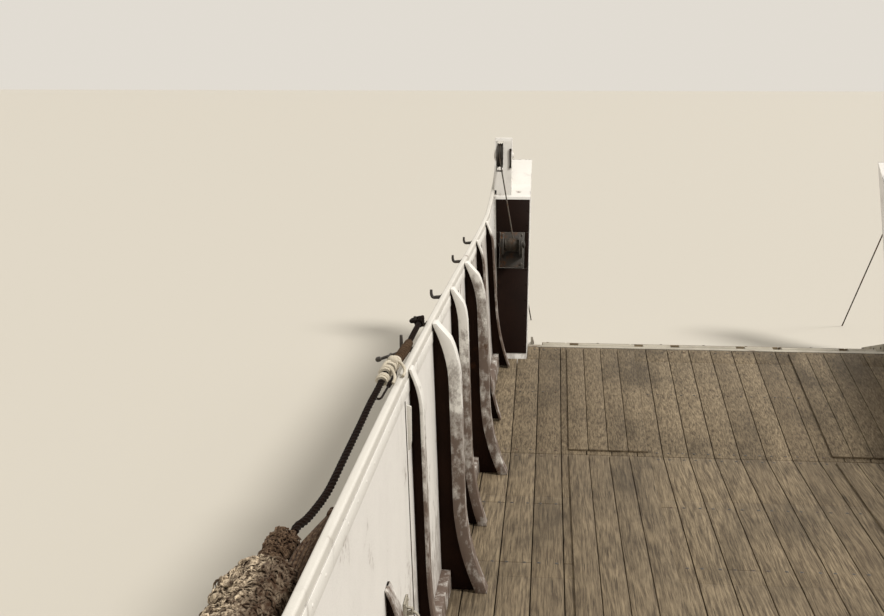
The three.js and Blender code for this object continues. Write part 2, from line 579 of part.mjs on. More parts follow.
function addHelm() {
  const column = box(-90, 90, 2195, 2330, DECK_TOP + 26, 1560);
  const head = rod([0, 2195, WHEEL.z], [0, 2330, WHEEL.z], 110, 20);
  const foot = box(-130, 130, 2195, 2345, DECK_TOP + GAP, DECK_TOP + 40);
  const socket = rod([0, 2150, WHEEL.z], [0, 2260, WHEEL.z], bearing(20));
  const levers = [
    box(150, 230, 2210, 2320, DECK_TOP + GAP, 1520),
    box(120, 160, 2230, 2300, 1330, 1400),
    rod([170, 2265, 1510], [170, 2215, 1690], 9, 8),
    rod([210, 2265, 1510], [210, 2240, 1690], 9, 8),
  ];
  add("helm_pedestal", join(cut(join(column, head, foot), socket, box(-131, 131, 2100, 2191, 0, 3000)), levers), DARK_STEEL);

  const rim = new THREE.TorusGeometry(WHEEL.rim, 17, 8, 24).rotateX(Math.PI / 2);
  const wheel = [solid(rim.translate(0, WHEEL.s, WHEEL.z)), rod([0, WHEEL.s - 35, WHEEL.z], [0, WHEEL.s + 35, WHEEL.z], 45)];
  for (let i = 0; i < 8; i += 1) {
    const a = (i * Math.PI) / 4;
    const [c, d] = [Math.cos(a), Math.sin(a)];
    wheel.push(rod([0, WHEEL.s, WHEEL.z], [c * WHEEL.grip, WHEEL.s, WHEEL.z + d * WHEEL.grip], 13, 8));
  }
  wheel.push(rod([0, WHEEL.s + 30, WHEEL.z], [0, 2255, WHEEL.z], 20));
  add("helm_wheel", join(wheel), WOOD);

  const [aft, fore, half, thick] = [1450, 2380, 610, 12];
  const [low, high, tail] = [DECK_TOP + GAP, 2150, 1850];
  const shield = cut(
    box(-half, half, aft, fore, low, high),
    box(-half + thick, half - thick, aft - 10, fore - thick, low - 10, high + 10),
    plateX([[aft - 20, tail], [fore - 420, high], [fore - 420, high + 50], [aft - 20, high + 50]], -half - 10, half + 10),
    [-330, 50].map((x) => box(x, x + 280, fore - 40, fore + 40, 2010, 2050)),
  );
  add("helm_shield", shield, HULL_PAINT);
}

// Deck gear of the stern half
function addDeckGear() {
  // Double bollards: base, two posts with caps.
  const bollards = (s, x, z) => join(
    box(x - 60, x + 60, s - 190, s + 190, z + GAP, z + 20),
    [-110, 110].flatMap((d) => [
      rod([x, s + d, z + 10], [x, s + d, z + 200], 42, 12),
      rod([x, s + d, z + 185], [x, s + d, z + 215], 56, 12),
    ]),
  );
  addPair("bollards_aft", bollards(1500, 1330, DECK_TOP), DARK_STEEL);

  const profile = [[0, 0], [110, 0], [110, 16], [62, 22], [62, 300], [120, 300], [128, 340], [80, 385], [0, 400]];
  const vent = new THREE.LatheGeometry(profile.map(([r, z]) => new THREE.Vector2(r, z)), 16).rotateX(Math.PI / 2);
  addPair("ventilator", solid(vent.translate(1180, 3200, DECK_TOP + GAP)), DECK_PAINT);

  const path = new THREE.CurvePath();
  const [x, s] = [1180, 4200];
  path.add(new THREE.LineCurve3(new THREE.Vector3(x, s, DECK_TOP + 10), new THREE.Vector3(x, s, 1880)));
  path.add(new THREE.QuadraticBezierCurve3(
    new THREE.Vector3(x, s, 1880), new THREE.Vector3(x, s, 2040), new THREE.Vector3(x + 40, s - 160, 2060)));
  const pipe = new THREE.ExtrudeGeometry(
    new THREE.Shape(circle(0, 0, 56, 12).map(([u, v]) => new THREE.Vector2(u, v))),
    { steps: 10, bevelEnabled: false, extrudePath: path },
  );
  add("exhaust_stack", join(solid(pipe), rod([x, s, DECK_TOP + GAP], [x, s, DECK_TOP + 24], 100)), DARK_STEEL);

  // Hand winch for the kedge anchor's wire.
  const w = { s: 560, z: 1550, x0: 520, x1: 780 };
  const cheeks = [w.x0 - 18, w.x1 + 6].map((x0) => cut(
    plateX([[w.s - 170, DECK_TOP + 10], [w.s + 170, DECK_TOP + 10], [w.s + 45, w.z + 45], [w.s - 45, w.z + 45]], x0, x0 + 12),
    rod([x0 - 5, w.s, w.z], [x0 + 20, w.s, w.z], bearing(19)),
  ));
  const bed = box(w.x0 - 40, w.x1 + 40, w.s - 180, w.s + 180, DECK_TOP + GAP, DECK_TOP + 18);
  const tie = rod([w.x0 - 15, w.s + 130, DECK_TOP + 70], [w.x1 + 15, w.s + 130, DECK_TOP + 70], 12, 8);
  add("stern_winch_frame", join(bed, cheeks, tie), DARK_STEEL);
  const drum = [
    rod([w.x0, w.s, w.z], [w.x1, w.s, w.z], 75, 20),
    rod([w.x0, w.s, w.z], [w.x0 + 14, w.s, w.z], 140, 20),
    rod([w.x1 - 14, w.s, w.z], [w.x1, w.s, w.z], 140, 20),
    rod([w.x0 - 90, w.s, w.z], [w.x1 + 90, w.s, w.z], 19),
    box(w.x0 - 84, w.x0 - 66, w.s - 20, w.s + 190, w.z - 16, w.z + 16),
    box(w.x1 + 66, w.x1 + 84, w.s - 190, w.s + 20, w.z - 16, w.z + 16),
    rod([w.x0 - 180, w.s + 170, w.z], [w.x0 - 70, w.s + 170, w.z], 14, 8),
    rod([w.x1 + 70, w.s - 170, w.z], [w.x1 + 180, w.s - 170, w.z], 14, 8),
  ];
  add("stern_winch_drum", join(drum), DARK_STEEL);

  // Kedge anchor laid flat on the deck: shank, arms, palms, stock and ring.
  const a = { x: -860, z: DECK_TOP + GAP };
  const arc = (radius, from, to, count) => Array.from({ length: count }, (_, i) => {
    const t = (from + ((to - from) * i) / (count - 1)) * DEG;
    return [a.x + radius * Math.sin(t), 760 - radius * Math.cos(t)];
  });
  const arms = plateZ([...arc(400, -62, 62, 11), ...arc(345, 62, -62, 11)], a.z, a.z + 46);
  const palm = (side) => plateZ([
    [a.x + side * 290, 470], [a.x + side * 400, 560], [a.x + side * 330, 690], [a.x + side * 210, 610],
  ], a.z, a.z + 60);
  const shank = box(a.x - 26, a.x + 26, 380, 1120, a.z, a.z + 50);
  const stock = rod([a.x - 330, 1020, a.z + 26], [a.x + 330, 1020, a.z + 26], 22, 10);
  const ring = new THREE.TorusGeometry(58, 13, 8, 16).translate(a.x, 1165, a.z + 26);
  add("kedge_anchor", join(arms, palm(1), palm(-1), shank, stock, solid(ring)), DARK_STEEL);
}

// Screw and rudder
function addRunningGear() {
  const screw = [
    rod([0, SHAFT.s - 60, SHAFT.z], [0, SHAFT.s + 70, SHAFT.z], 52, 16, 60),
    rod([0, SHAFT.s - 125, SHAFT.z], [0, SHAFT.s - 59, SHAFT.z], 20, 16, 52),
    rod([0, SHAFT.s + 60, SHAFT.z], [0, 1680, SHAFT.z], 30),
  ];
  for (let i = 0; i < 3; i += 1) {
    const outline = new THREE.Shape();
    outline.moveTo(-38, 30);
    outline.bezierCurveTo(-120, 120, -110, 255, 5, 268);
    outline.bezierCurveTo(105, 250, 100, 110, 38, 30);
    const blade = new THREE.ExtrudeGeometry(outline, { depth: 12, bevelEnabled: false, curveSegments: 6 });
    blade.translate(0, 0, -6).rotateX(Math.PI / 2).rotateZ(38 * DEG);
    screw.push(solid(blade.rotateY((i * 2 * Math.PI) / 3).translate(0, SHAFT.s, SHAFT.z)));
  }
  add("propeller", join(screw), BRONZE);

  const blade = plateZ([[-8, 230], [8, 230], [26, 520], [22, 640], [0, 700], [-22, 640], [-26, 520]], 75, 690);
  const stock = rod([0, RUDDER_S, 680], [0, RUDDER_S, 1345], 28);
  const pintle = rod([0, RUDDER_S, 4], [0, RUDDER_S, 80], 20);
  const tiller = join(
    rod([0, RUDDER_S, 1296], [0, RUDDER_S, 1335], 60),
    box(-22, 22, RUDDER_S, RUDDER_S + 420, 1300, 1330),
  );
  add("rudder", join(blade, stock, pintle, tiller), DARK_STEEL);
}

// Lids of the engine hatch, hinged along their outboard edges
const LID = { hinge: 722, z: HATCH.top, thick: 45 };

function addLids() {
  const [aft, fore] = [HATCH.aft - HATCH.wall - 10, HATCH.fore + HATCH.wall + 10];
  const lid = join(
    box(5, LID.hinge - 5, aft, fore, LID.z + GAP, LID.z + LID.thick),
    [0, 1, 2].map((i) => box(90, 600, aft + 250 + i * 780, aft + 310 + i * 780, LID.z + 40, LID.z + 62)),
    box(60, 110, 3600, 3800, LID.z + 40, LID.z + 75),
  );
  addPair("engine_lid", lid, DECK_PAINT);
}

// Bow ramp, in its own group: +Y along the ramp from the hinge, +Z off its upper side
function addRamp() {
  const ramp = new THREE.Group();
  ramp.position.set(0, HINGE.s, HINGE.z);
  ramp.rotation.x = -RAMP_DOWN * DEG;
  craft.add(ramp);

  const [half, under, over] = [RAMP_HALF, -RAMP_T / 2, RAMP_T / 2];
  const knuckles = [[-195, 195], [505, 895], [-895, -505]];
  const pieces = [
    box(-half, half, 62, RAMP_LENGTH, under, over),
    ...boxPair(half - 14, half, 62, RAMP_LENGTH, under - 30, over + RAMP_CURB),
    ...[-900, -450, 0, 450, 900].map((x) => box(x - 20, x + 20, 140, RAMP_LENGTH - 40, under - 32, under + 5)),
    box(-half + 5, half - 5, RAMP_LENGTH - 50, RAMP_LENGTH, under - 30, under + 5),
    box(-half + 5, half - 5, 860, 900, under - 32, under + 5),
    ...knuckles.flatMap(([x0, x1]) => [rod([x0, 0, 0], [x1, 0, 0], 40), box(x0, x1, 0, 80, under, over)]),
    // Lugs for the ramp wires.
    ...boxPair(half - 26, half - 1, 1480, 1600, over, over + 150),
  ];
  const pinHole = rod([-1300, 0, 0], [1300, 0, 0], bearing(18));
  const eyes = [1, -1].map((side) => rod([side * (half - 40), 1540, over + 105], [side * (half + 10), 1540, over + 105], 22, 12));
  add("ramp_panel", cut(join(pieces), pinHole, eyes), HULL_PAINT, ramp);

  const [foot, high] = [over + GAP, over + 28];
  const cleats = [0, 1, 2, 3, 4, 5, 6, 7].map((i) => box(-1150, 1150, 170 + i * 205, 220 + i * 205, foot, high));
  const tracks = boxPair(TRACK.x0, TRACK.x1, 120, RAMP_LENGTH - 40, foot, over + TRACK.thick);
  add("ramp_treads", join(cleats, tracks), WOOD, ramp);
}

// Winches that haul the ramp wires, on the aft faces of the raked boxes
function addRampWinches() {
  const up = 640; // along the raked face from the hinge's height
  const [c, d] = [Math.cos(RAMP_SHUT * DEG), Math.sin(RAMP_SHUT * DEG)];
  const parts = join(
    box(-85, 85, -130, 130, GAP + 0.2, 16),
    boxPair(62, 74, -60, 60, 10, 150),
    rod([-90, 0, 110], [90, 0, 110], 14, 8),
    rod([-62, 0, 110], [62, 0, 110], 40, 14),
    rod([-62, 0, 110], [-52, 0, 110], 72, 14),
    rod([52, 0, 110], [62, 0, 110], 72, 14),
  );
  for (const [name, side] of [["ramp_winch_starboard", 1], ["ramp_winch_port", -1]]) {
    const winch = add(name, parts, DARK_STEEL);
    winch.position.set(side * 1372, HINGE.s + up * c - CHEEK_DEPTH * d, HINGE.z + up * d + CHEEK_DEPTH * c);
    winch.rotation.x = RAMP_SHUT * DEG;
  }
}

// Rope fenders over the side, and the rope from the port one to the gunwale
const FENDER = { s: 6885, length: 950, radius: 110, z: 1425 };
const FENDER_X = sideX(FENDER.s, FENDER.z) + FENDER.radius + GAP;

function addFenders() {
  const { length, radius } = FENDER;
  const half = length / 2;
  const profile = [[0, -half], [38, -half], [70, -half + 30], [radius, -half + 110], [radius, half - 110], [70, half - 30], [38, half], [0, half]];
  const body = new THREE.LatheGeometry(profile.map(([r, y]) => new THREE.Vector2(r, y)), 12);
  addPair("fender", solid(body.translate(FENDER_X, FENDER.s, FENDER.z)), ROPE);

  // From the hook at one frame, along the gunwale to the horn cleat, then slack down to the fender.
  const line = ROPE_POINTS.map(([a, b, c]) => new THREE.Vector3(a, b, c));
  const rope = new THREE.ExtrudeGeometry(
    new THREE.Shape(circle(0, 0, ROPE_D / 2, 8).map(([u, v]) => new THREE.Vector2(u, v))),
    { steps: 48, bevelEnabled: false, extrudePath: new THREE.CatmullRomCurve3(line) },
  );
  add("fender_rope", solid(rope), ROPE);
}

// The rope's line, port side, from the hook forward of the cleat to the fender's end.
const ROPE_D = 22;
const ROPE_POINTS = [
  [-1632, 9460, 1512], [-1636, 9200, 1508], [-1638, 8950, 1507], [-1642, 8750, 1516], [-1648, 8620, 1525],
  [-1654, 8520, 1525], [-1661, 8385, 1508], [-1668, 8236, 1495], [-1674, 8118, 1477], [-1681, 7989, 1458],
  [-1687, 7867, 1442], [-1692, 7770, 1428], [-1697, 7672, 1417], [-1704, 7565, 1416], [-1714, 7449, 1421],
  [-FENDER_X, 7400, 1425], [-FENDER_X, 7360.5, 1425],
];

addHull();
addFrames();
addWell();
addSternDeck();
addEngine();
addHelm();
addDeckGear();
addRunningGear();
addLids();
addRamp();
addRampWinches();
addFenders();

craft.position.y = -MIDDLE;

export default craft;
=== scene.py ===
"""Looks of a 14 m steel landing craft with a bow ramp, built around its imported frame.

Sizes are in millimetres and s is the length along the craft from its transom, as in the part's
source. A finished mesh is in metres, in the frame.
"""

import json
import logging
import random
from collections.abc import Callable, Sequence
from dataclasses import dataclass, field
from enum import Enum
from math import ceil, cos, hypot, pi, radians, sin, sqrt

import bmesh
import bpy
from mathutils import Matrix, Vector, noise
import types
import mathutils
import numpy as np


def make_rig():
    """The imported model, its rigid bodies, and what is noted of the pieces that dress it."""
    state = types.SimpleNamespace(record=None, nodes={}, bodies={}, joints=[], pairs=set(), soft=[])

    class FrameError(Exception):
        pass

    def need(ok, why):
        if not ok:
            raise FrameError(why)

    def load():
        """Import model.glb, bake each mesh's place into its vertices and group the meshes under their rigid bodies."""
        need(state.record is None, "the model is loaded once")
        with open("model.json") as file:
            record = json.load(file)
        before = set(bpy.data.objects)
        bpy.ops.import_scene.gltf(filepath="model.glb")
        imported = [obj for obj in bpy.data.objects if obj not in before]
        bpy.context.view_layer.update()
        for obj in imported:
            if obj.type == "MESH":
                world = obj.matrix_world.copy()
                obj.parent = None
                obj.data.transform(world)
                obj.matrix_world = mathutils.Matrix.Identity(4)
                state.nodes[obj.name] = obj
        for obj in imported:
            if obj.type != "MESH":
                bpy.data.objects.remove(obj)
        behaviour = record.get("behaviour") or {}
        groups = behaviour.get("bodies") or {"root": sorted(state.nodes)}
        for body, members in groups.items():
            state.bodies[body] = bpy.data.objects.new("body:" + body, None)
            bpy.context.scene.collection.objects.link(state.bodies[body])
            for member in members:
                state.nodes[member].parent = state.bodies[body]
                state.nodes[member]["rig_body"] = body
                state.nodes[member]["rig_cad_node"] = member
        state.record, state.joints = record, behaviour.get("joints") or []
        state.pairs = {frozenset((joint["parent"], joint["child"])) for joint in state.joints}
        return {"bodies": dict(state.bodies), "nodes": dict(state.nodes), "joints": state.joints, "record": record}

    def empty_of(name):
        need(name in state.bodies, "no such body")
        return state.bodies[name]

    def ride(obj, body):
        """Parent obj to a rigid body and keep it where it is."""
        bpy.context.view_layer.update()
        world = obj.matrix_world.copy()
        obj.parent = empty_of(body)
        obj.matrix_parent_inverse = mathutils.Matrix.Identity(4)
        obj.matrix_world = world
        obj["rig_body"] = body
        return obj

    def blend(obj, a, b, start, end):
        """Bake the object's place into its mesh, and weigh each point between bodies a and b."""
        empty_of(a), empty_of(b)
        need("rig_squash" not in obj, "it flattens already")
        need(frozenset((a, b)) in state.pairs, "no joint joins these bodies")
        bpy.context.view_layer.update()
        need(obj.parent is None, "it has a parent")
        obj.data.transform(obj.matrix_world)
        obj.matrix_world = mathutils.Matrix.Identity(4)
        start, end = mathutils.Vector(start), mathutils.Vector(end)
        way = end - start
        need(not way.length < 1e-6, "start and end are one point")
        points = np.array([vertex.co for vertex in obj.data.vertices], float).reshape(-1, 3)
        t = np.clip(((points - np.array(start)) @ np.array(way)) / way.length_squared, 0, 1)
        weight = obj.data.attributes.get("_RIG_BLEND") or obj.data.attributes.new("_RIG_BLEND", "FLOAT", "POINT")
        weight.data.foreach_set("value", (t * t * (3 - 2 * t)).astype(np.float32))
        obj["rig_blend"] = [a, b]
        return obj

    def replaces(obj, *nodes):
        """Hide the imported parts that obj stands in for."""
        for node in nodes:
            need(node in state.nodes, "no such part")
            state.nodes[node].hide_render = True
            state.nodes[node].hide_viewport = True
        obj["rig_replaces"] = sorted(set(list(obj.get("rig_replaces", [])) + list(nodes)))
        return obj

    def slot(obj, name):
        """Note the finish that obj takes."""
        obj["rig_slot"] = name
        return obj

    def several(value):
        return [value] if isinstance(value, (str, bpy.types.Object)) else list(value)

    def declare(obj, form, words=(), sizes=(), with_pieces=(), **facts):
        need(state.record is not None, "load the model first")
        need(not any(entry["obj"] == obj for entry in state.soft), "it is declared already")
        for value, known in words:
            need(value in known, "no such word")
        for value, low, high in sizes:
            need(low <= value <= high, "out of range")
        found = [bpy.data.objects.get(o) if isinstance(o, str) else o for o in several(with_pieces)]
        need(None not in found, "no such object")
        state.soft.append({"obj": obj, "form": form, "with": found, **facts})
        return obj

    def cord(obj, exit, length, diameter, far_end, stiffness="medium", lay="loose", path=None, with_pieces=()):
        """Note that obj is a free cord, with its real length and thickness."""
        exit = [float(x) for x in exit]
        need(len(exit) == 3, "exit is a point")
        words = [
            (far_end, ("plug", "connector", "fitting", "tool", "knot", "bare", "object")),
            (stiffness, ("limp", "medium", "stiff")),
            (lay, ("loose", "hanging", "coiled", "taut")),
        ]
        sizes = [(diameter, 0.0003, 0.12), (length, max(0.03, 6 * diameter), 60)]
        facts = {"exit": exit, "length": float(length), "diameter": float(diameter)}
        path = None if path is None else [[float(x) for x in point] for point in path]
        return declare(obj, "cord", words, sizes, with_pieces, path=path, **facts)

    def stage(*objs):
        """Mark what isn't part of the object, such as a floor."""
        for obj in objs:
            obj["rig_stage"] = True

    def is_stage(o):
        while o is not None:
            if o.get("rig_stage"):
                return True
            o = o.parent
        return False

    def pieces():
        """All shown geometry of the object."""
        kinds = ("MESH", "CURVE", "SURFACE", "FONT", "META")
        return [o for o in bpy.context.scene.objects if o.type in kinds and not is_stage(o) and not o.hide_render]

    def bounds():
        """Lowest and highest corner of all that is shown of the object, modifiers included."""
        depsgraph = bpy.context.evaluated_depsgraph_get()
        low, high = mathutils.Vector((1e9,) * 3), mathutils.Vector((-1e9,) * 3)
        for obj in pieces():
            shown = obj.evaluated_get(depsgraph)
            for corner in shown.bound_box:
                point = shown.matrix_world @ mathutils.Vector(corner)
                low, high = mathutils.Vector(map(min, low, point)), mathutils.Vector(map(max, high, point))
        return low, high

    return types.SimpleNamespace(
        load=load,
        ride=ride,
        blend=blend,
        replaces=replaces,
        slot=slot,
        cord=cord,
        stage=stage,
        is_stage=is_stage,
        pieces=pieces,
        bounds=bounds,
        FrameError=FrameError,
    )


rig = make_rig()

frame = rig.load()
CAD_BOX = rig.bounds()

log = logging.getLogger("landing_craft")

# Sizes that several assemblies share, in millimetres, and the slopes of the ramp and of the bow.
MIDDLE = 7272.474
WATERLINE = 460.0
PLATE = 16.0
WELL_AFT = 5200.0
FLOOR_BREAK = 11300.0
SILL = 12780.0
FLOOR_LOW = 280.0
FLOOR_HIGH = 560.0
FLOOR_T = 40.0
DECK_TOP = 1290.0
CAP_T = 30.0
CAP_IN = 17.0
CAP_OUT = 10.0
GATE = 1250.0
CHEEK_FOOT = 12580.0
HINGE_S = 12900.0
HINGE_Z = 560.0
RAMP_DOWN = radians(16)
BOW_RAKE = radians(62)
RAKE_OFF = 22.5
TRACK_IN = 520.0
TRACK_OUT = 980.0
TRACK_T = 12.0
TRACK_AFT = 5700.0
FRAME_SPLIT = 9075.0

# The hull's side: s, then x and z of the chine and of the sheer.
SIDE_TABLE = (
    (0, 960, 860, 985, 1470), (120, 1220, 880, 1265, 1470), (350, 1400, 880, 1460, 1470),
    (700, 1510, 870, 1565, 1470), (1200, 1550, 830, 1607, 1470), (2000, 1562, 710, 1612, 1470),
    (3000, 1566, 520, 1612, 1470), (4000, 1570, 360, 1612, 1470), (5200, 1570, 270, 1612, 1470),
    (8600, 1572, 270, 1615, 1470), (9600, 1560, 270, 1602, 1470), (10600, 1540, 272, 1586, 1470),
    (11300, 1520, 276, 1571, 1470), (12300, 1490, 464, 1550, 1482), (12780, 1472, 552, 1540, 1500),
    (13100, 1460, 555, 1528, 1580), (13360, 1448, 557, 1518, 1670), (13600, 1434, 559, 1505, 1830),
    (13800, 1424, 560, 1498, 1930),
)

ACROSS = (1, 0, 0)
FORWARD = (0, 1, 0)
UP = (0, 0, 1)

Colour = tuple[float, float, float, float]
Point = Sequence[float]
Line = Sequence[Point]


class Body(Enum):
    """The bodies that pieces ride on."""

    HULL = "hull"
    RAMP = "ramp"
    PROPELLER = "propeller"
    WHEEL = "helm_wheel"
    LID_PORT = "engine_lid_port"
    LID_STARBOARD = "engine_lid_starboard"
    WINCH = "stern_winch_drum"


class Side(Enum):
    """A side of the craft, with the sign of its x."""

    STARBOARD = 1
    PORT = -1

    def __str__(self) -> str:
        """Gives the side's name as it ends a piece's name."""
        return self.name.lower()

    @property
    def flip(self) -> Matrix:
        """The mirror that brings a starboard form to this side."""
        return Matrix.Diagonal((self.value, 1, 1, 1))


def side_row(s: float) -> Point:
    """Gives the hull's side at a length.

    Args:
        s: Length from the transom.

    Returns:
        x and z of the chine, then x and z of the sheer.
    """
    i = 0
    while i < len(SIDE_TABLE) - 2 and SIDE_TABLE[i + 1][0] < s:
        i += 1
    a, b = SIDE_TABLE[i], SIDE_TABLE[i + 1]
    t = min(max((s - a[0]) / (b[0] - a[0]), 0.0), 1.0)
    return tuple(p + (q - p) * t for p, q in zip(a[1:], b[1:]))


def side_x(s: float, z: float) -> float:
    """Gives the half breadth of the hull's outside.

    Args:
        s: Length from the transom.
        z: Height above the keels.

    Returns:
        The distance from the middle line.
    """
    low_x, low_z, high_x, high_z = side_row(s)
    return low_x + (high_x - low_x) * (z - low_z) / (high_z - low_z)


def wall_x(s: float, z: float, gap: float = 0.4) -> float:
    """Gives the half breadth of the plating's inside, less a gap."""
    return side_x(s, z) - PLATE - gap


def sheer_z(s: float) -> float:
    """Gives the height of the side plating's top at s."""
    return side_row(s)[3]


def floor_z(s: float) -> float:
    """Gives the height of the floor's underside at s."""
    t = min(max((s - FLOOR_BREAK) / (SILL - FLOOR_BREAK), 0.0), 1.0)
    return FLOOR_LOW + (FLOOR_HIGH - FLOOR_LOW) * t


def rake_s(z: float) -> float:
    """Gives where the bow's raked edge is at a height."""
    return HINGE_S + (RAKE_OFF + (z - HINGE_Z) * cos(BOW_RAKE)) / sin(BOW_RAKE)


def angles(count: int) -> list[float]:
    """Gives even angles round a circle."""
    return [2 * pi * k / count for k in range(count)]


def upright(s: float, x0: float, x1: float, z0: float, z1: float) -> list[Point]:
    """Gives a four-cornered outline that stands across the craft."""
    return [(x0, s, z0), (x1, s, z0), (x1, s, z1), (x0, s, z1)]


def level(z: float, x0: float, x1: float, s0: float, s1: float) -> list[Point]:
    """Gives a four-cornered outline that lies level."""
    return [(x0, s0, z), (x0, s1, z), (x1, s1, z), (x1, s0, z)]


def metres(x: float, s: float, z: float) -> Point:
    """Gives a place in the frame, in metres."""
    return x / 1000, (s - MIDDLE) / 1000, z / 1000


def ramp_place() -> Matrix:
    """Gives the place of the lowered ramp, which forms made round its hinge are put to."""
    return Matrix.Translation((0, HINGE_S, HINGE_Z)) @ Matrix.Rotation(-RAMP_DOWN, 4, "X")


def show(name: str, data: bpy.types.ID) -> bpy.types.Object:
    """Puts an object into the scene.

    Args:
        name: Its name.
        data: Its mesh, camera or light.

    Returns:
        The object.
    """
    shown = bpy.data.objects.new(name, data)
    bpy.context.scene.collection.objects.link(shown)
    return shown


def smooth_line(points: Line, step: float) -> list[Vector]:
    """Draws a smooth curve through points, by centripetal Catmull-Rom.

    Args:
        points: The points that it passes, in order.
        step: Spacing of the points returned, roughly.

    Returns:
        Points on the curve, from the first one to the last.
    """
    given = [Vector(p) for p in points]
    ends = [given[0] * 2 - given[1], *given, given[-1] * 2 - given[-2]]
    line = []
    for i in range(1, len(ends) - 2):
        p0, p1, p2, p3 = ends[i - 1 : i + 3]
        knots = [0.0]
        for a, b in ((p0, p1), (p1, p2), (p2, p3)):
            knots.append(knots[-1] + max((b - a).length, 1e-6) ** 0.5)
        t0, t1, t2, t3 = knots
        count = max(round((p2 - p1).length / step), 1)
        for k in range(count):
            t = t1 + (t2 - t1) * k / count
            a1 = p0 * ((t1 - t) / (t1 - t0)) + p1 * ((t - t0) / (t1 - t0))
            a2 = p1 * ((t2 - t) / (t2 - t1)) + p2 * ((t - t1) / (t2 - t1))
            a3 = p2 * ((t3 - t) / (t3 - t2)) + p3 * ((t - t2) / (t3 - t2))
            b1 = a1 * ((t2 - t) / (t2 - t0)) + a2 * ((t - t0) / (t2 - t0))
            b2 = a2 * ((t3 - t) / (t3 - t1)) + a3 * ((t - t1) / (t3 - t1))
            line.append(b1 * ((t2 - t) / (t2 - t1)) + b2 * ((t - t1) / (t2 - t1)))
    line.append(given[-1])
    return line


def cross_frames(line: Sequence[Vector]) -> list[tuple[Vector, Vector]]:
    """Gives two directions square to a line at each of its points, without sudden turns.

    Args:
        line: The line's points.

    Returns:
        A pair of unit vectors for each point.
    """
    frames = []
    side = None
    for i in range(len(line)):
        ahead = (line[min(i + 1, len(line) - 1)] - line[max(i - 1, 0)]).normalized()
        if side is None:
            guess = Vector(UP) if abs(ahead.z) < 0.9 else Vector(ACROSS)
            side = ahead.cross(guess).normalized()
        else:
            side = (side - ahead * side.dot(ahead)).normalized()
        frames.append((side.copy(), ahead.cross(side)))
    return frames


# Node trees


class Tree:
    """Short calls that fill one node tree."""

    def __init__(self, tree: bpy.types.NodeTree) -> None:
        """Keeps the tree that the calls fill."""
        self.tree = tree

    def add(self, kind: str, values: dict | None = None, **settings: object) -> bpy.types.Node:
        """Adds a node.

        Args:
            kind: The node's type, without its ShaderNode prefix.
            values: A number or a socket for each input, by name or place.
            settings: The node's own properties.

        Returns:
            The node.
        """
        node = self.tree.nodes.new("ShaderNode" + kind)
        for key, value in settings.items():
            setattr(node, key, value)
        self.feed(node, values or {})
        return node

    def feed(self, node: bpy.types.Node, values: dict) -> None:
        """Sets a node's inputs.

        Args:
            node: The node.
            values: A number or a socket for each input, by name or place.
        """
        for key, value in values.items():
            if isinstance(value, bpy.types.NodeSocket):
                self.tree.links.new(value, node.inputs[key])
            else:
                node.inputs[key].default_value = value

    def math(self, operation: str, a: object, b: object = 0.0, clamp: bool = False) -> object:
        """Adds a calculation with two values and gives its result."""
        return self.add("Math", {0: a, 1: b}, operation=operation, use_clamp=clamp).outputs[0]

    def plus(self, a: object, b: object, clamp: bool = False) -> object:
        """Adds two values and gives the result."""
        return self.math("ADD", a, b, clamp)

    def minus(self, a: object, b: object) -> object:
        """Takes one value from another and gives the result."""
        return self.math("SUBTRACT", a, b)

    def times(self, a: object, b: object, clamp: bool = False) -> object:
        """Multiplies two values and gives the result."""
        return self.math("MULTIPLY", a, b, clamp)

    def mix(self, factor: object, a: object, b: object) -> object:
        """Adds a mix of two colours and gives its result."""
        return self.add("Mix", {0: factor, 6: a, 7: b}, data_type="RGBA").outputs[2]

    def span(self, value: object, low: float, high: float, to: tuple[float, float] = (0, 1)) -> object:
        """Adds a smooth step from low to high and gives its result."""
        values = {"Value": value, "From Min": low, "From Max": high, "To Min": to[0], "To Max": to[1]}
        return self.add("MapRange", values, interpolation_type="SMOOTHSTEP").outputs[0]

    def stretch(self, vector: object, by: Point) -> object:
        """Adds a stretch of a vector and gives its result."""
        return self.add("VectorMath", {0: vector, 1: by}, operation="MULTIPLY").outputs[0]

    def noise(self, vector: object, scale: object, detail: float, rough: float = 0.55) -> object:
        """Adds a noise and gives its value."""
        values = {"Vector": vector, "Scale": scale, "Detail": detail, "Roughness": rough}
        return self.add("TexNoise", values).outputs[0]

    def bump(self, height: object, strength: float, depth: float) -> object:
        """Adds a relief of a depth in metres and gives its normal."""
        values = {"Height": height, "Strength": strength, "Distance": depth}
        return self.add("Bump", values).outputs[0]

    def place(self) -> object:
        """Gives the point on the craft, in metres."""
        return self.add("TexCoord").outputs["Object"]

    def axes(self, vector: object) -> object:
        """Gives a vector's X, Y and Z."""
        return self.add("SeparateXYZ", {0: vector}).outputs

    def hollow(self, distance: float) -> object:
        """Adds a value that is 1 deep in corners and 0 in the open."""
        node = self.add("AmbientOcclusion", {"Distance": distance}, samples=6)
        return self.minus(1.0, node.outputs["AO"])


class Socket(Enum):
    """Types of a group's inputs and outputs."""

    NUMBER = "NodeSocketFloat"
    COLOUR = "NodeSocketColor"
    VECTOR = "NodeSocketVector"


